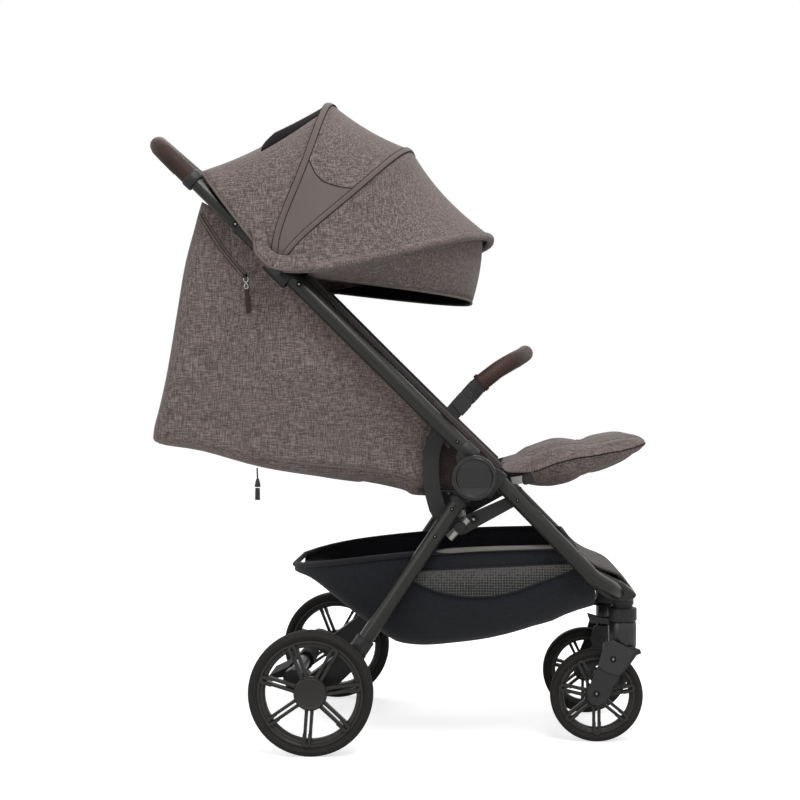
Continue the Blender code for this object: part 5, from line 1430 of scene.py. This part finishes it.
def makeHarness(skins, pad):
    # a buckle on the crotch strap, two waist straps, and two padded shoulder straps on the back cushion
    softCopy("harness_buckle", skins["plastic"], 0.0022)
    ring = [(0, 0.0016), (0.0062, 0.0016), (0.0074, 0.001), (0.0078, 0.0), (0.0078, -0.003), (0, -0.003)]
    lathe("buckleButton", ring, (0.0652, 0, 0.45), (0.985, 0, 0.17), skins["gloss"], "front_frame", 40)
    for label, tag, side in sides():
        line = rounded([Vector((0.046, side * 0.0245, 0.45)), Vector((0.04, side * 0.045, 0.449)),
                        Vector((0.018, side * 0.085, 0.444)), Vector((-0.012, side * 0.125, 0.44)),
                        Vector((-0.03, side * 0.15, 0.432))], 6)
        rows = []
        for k, spot in enumerate(line):
            way = aheadAt(line, k)
            wide = Vector((way.y, -way.x, 0)).normalized() * 0.011 + Vector((0, 0, 0.003))
            up = Vector((0, 0, 0.0008))
            rows.append([spot - wide + up, spot + wide + up, spot + wide - up, spot - wide - up])
        gridMesh("waistStrap" + label, rows, skins["ribbon"], "front_frame", ring=True, capped=True, angle=40)
    slab = []
    for label, tag, side in sides():
        line = [Vector((-0.3 + 0.206 * k / 30, side * 0.0645, 0)) for k in range(31)]
        top = rayDown(pad, [(p.x, p.y, 0.8) for p in line], (0, 0, -1), 0.0012)
        slab.append(frozen(strap("strapPad" + label, top, 0.035, 0.0045, skins["lining"])))
    made = shade(joined("shoulderStraps", slab, skins["lining"], "backrest"), 50)
    foldUp(dress(made, "shoulder_straps"))


# Basket
basketSizes = {
    "cloth": 0.0018, "rim": ((-0.181, 0.274), (-0.106, 0.287), (-0.007, 0.299), (0.1, 0.308),
                             (0.217, 0.312), (0.25, 0.312)),
    "floor": ((-0.181, 0.262), (-0.15, 0.256), (-0.113, 0.23), (-0.067, 0.193), (-0.02, 0.16),
              (0.0, 0.153), (0.03, 0.1505), (0.067, 0.153), (0.134, 0.162), (0.209, 0.184), (0.23, 0.199),
              (0.25, 0.214), (0.27, 0.22)),
    "wall": ((0.0, 0.995), (0.08, 0.99), (0.18, 0.985), (0.3, 0.98), (0.42, 0.972), (0.54, 0.96),
             (0.66, 0.945), (0.78, 0.915), (0.88, 0.865), (0.95, 0.79), (0.985, 0.68), (0.995, 0.5),
             (1.0, 0.25)),
}
rimLine, floorLine = rounded(flat(basketSizes["rim"]), 8), rounded(flat(basketSizes["floor"]), 8)


def basketStation(x):
    back = min(1.0, (x + 0.186) / 0.16)
    return 0.1912 * (1 - (1 - back) ** 3) ** 0.4, heightAt(rimLine, x), heightAt(floorLine, x)


def basketLean(x, down):
    # the cloth reaches further forward low down, under the footboard
    return 0.046 * max(0.0, (x - 0.2) / 0.05) ** 1.5 * down ** 0.35


def makeBasket(skins):
    xs = [-0.179 + (0.25 + 0.179) * (k / 44) for k in range(45)]
    rows = []
    for x in xs:
        half, rim, floor = basketStation(x)
        depth = rim - floor - 0.004
        row = []
        for down, out in basketSizes["wall"]:
            sag = 0.004 * noise.noise(Vector((x * 14, out * 3, down * 5))) * down
            row.append(Vector((x + basketLean(x, down), half * out + sag, rim - 0.004 - depth * down)))
        middle = Vector((x + basketLean(x, 1), 0, rim - 0.004 - depth))
        rows.append(mirrored(row) + [middle] + row[::-1])
    half, rim, floor = basketStation(xs[-1])
    last = rows[-1]
    for lean, lift in ((0.009, 0.12), (0.012, 0.45), (0.012, 0.8), (0.012, 1.0)):
        rows.append([Vector((p.x + lean + (xs[-1] - p.x) * lift, p.y,
                             p.z + (rim - 0.004 - p.z) * lift)) for p in last])
    basket = frozen(gridMesh("basketCloth", rows, skins["basket"], thick=basketSizes["cloth"], angle=75))
    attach(basket, "front_frame")
    dress(basket, "basket")
    loop = []
    for x in xs[::2]:
        half, rim, floor = basketStation(x)
        loop.append(Vector((x, half + 0.0002, rim)))
    front = Vector((0.264, 0.18, loop[-1].z))
    loop = loop + [front] + mirrored([front] + loop[::-1])
    rim = tube("basketHem", loop, 0.0042, skins["basket"], "front_frame", closed=True, fine=4)
    dress(rim, "basket_rim")
    # net window low on each side, in the shape of a lens, with a bound edge and a grey tape along the top
    for label, tag, side in sides():
        lens, top, bottom = [], [], []
        for k in range(31):
            u = k / 30
            x = -0.004 + (0.262 - 0.004) * u
            bow = sin(pi * min(1.0, u * 1.02)) ** 0.7
            high = 0.274 + 0.014 * u
            low = high - 0.046 * bow
            row = []
            for j in range(7):
                z = high + (low - high) * j / 6
                row.append(basketWall(x, z, side, 0.0018))
            lens.append(row)
            top.append(row[0])
            bottom.append(row[-1])
        gridMesh("basketNet" + label, lens, skins["net"], "front_frame")
        tube("netEdge" + label, top + bottom[::-1], 0.0012, skins["basket"], "front_frame", closed=True,
             fine=2)
        tape = []
        for k in range(25):
            share = k / 24
            x = 0.0505 + 0.18 * share
            half, rim, floor = basketStation(x)
            wide = radians(62 - 26 * share) * min(1.0, share * 8 + 0.15)
            tape.append([Vector((x, side * (half + 0.0002 + 0.0046 * cos(t)), rim + 0.0046 * sin(t)))
                         for t in (0.3 - wide, 0.3 - wide / 2, 0.3, 0.3 + wide / 2, 0.3 + wide)])
        gridMesh("basketTape" + label, tape, skins["strip"], "front_frame")


def basketWall(x, z, side, out):
    half, rim, floor = basketStation(x)
    depth = rim - floor - 0.004
    down = min(1.0, max(0.0, (rim - 0.004 - z) / depth))
    share = heightAt(flat(basketSizes["wall"]), down)
    return Vector((x + basketLean(x, down), side * (half * share + out + 0.003 * down), z))


# Footboard
def makeFootboard(skins):
    line = rounded(flat(((0.272, 0.307), (0.288, 0.2925), (0.306, 0.282), (0.326, 0.2745), (0.338, 0.2685),
                         (0.349, 0.257), (0.3685, 0.231))), 6)
    rows = []
    last = len(line) - 1
    for k, spot in enumerate(line):
        way = aheadAt(line, k)
        normal = Vector((-way.z, 0, way.x))
        half = 0.172 - 0.06 * (k / last) ** 2.2
        row = []
        for share in [j / 12 for j in range(-12, 13)]:
            y = half * share
            drop = 0.0022 * abs(share) ** 8
            row.append(spot + Vector((0, y, 0)) - normal * drop)
        low = [p - normal * 0.0048 for p in row[::-1]]
        rows.append(row + low)
    board = frozen(gridMesh("footboard", rows, skins["tread"], ring=True, capped=True, smoothing=1, angle=60))
    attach(board, "front_frame")
    dress(board, "footboard")
    # each front leg ends in a nose that closes against the board
    for label, tag, side in sides():
        nose = [(0.2901, 0.285), (0.3048, 0.2743), (0.3231, 0.264), (0.34, 0.256), (0.356, 0.243),
                (0.363, 0.237), (0.36, 0.233), (0.3543, 0.2285), (0.3378, 0.2256), (0.3195, 0.2292),
                (0.3029, 0.2393), (0.2864, 0.2521), (0.2717, 0.2668)]
        prism("noseCap" + label, nose, side * 0.118, side * 0.168, skins["tube"], "front_frame", 0.0045)


print("camera and studio")
makeCamera()
makeStage()
print("materials")
skins = makeSkins()
print("wheels")
makeWheels(skins)
print("frame tubes and joints")
makeTubes(skins)
makeKnuckles(skins)
makeHandle(skins)
makeArmBar(skins)
print("canopy")
makeCanopy(skins)
print("seat shell")
makeShell(skins)
print("cushions")
makeSeat(skins)
print("basket and footboard")
makeBasket(skins)
makeFootboard(skins)
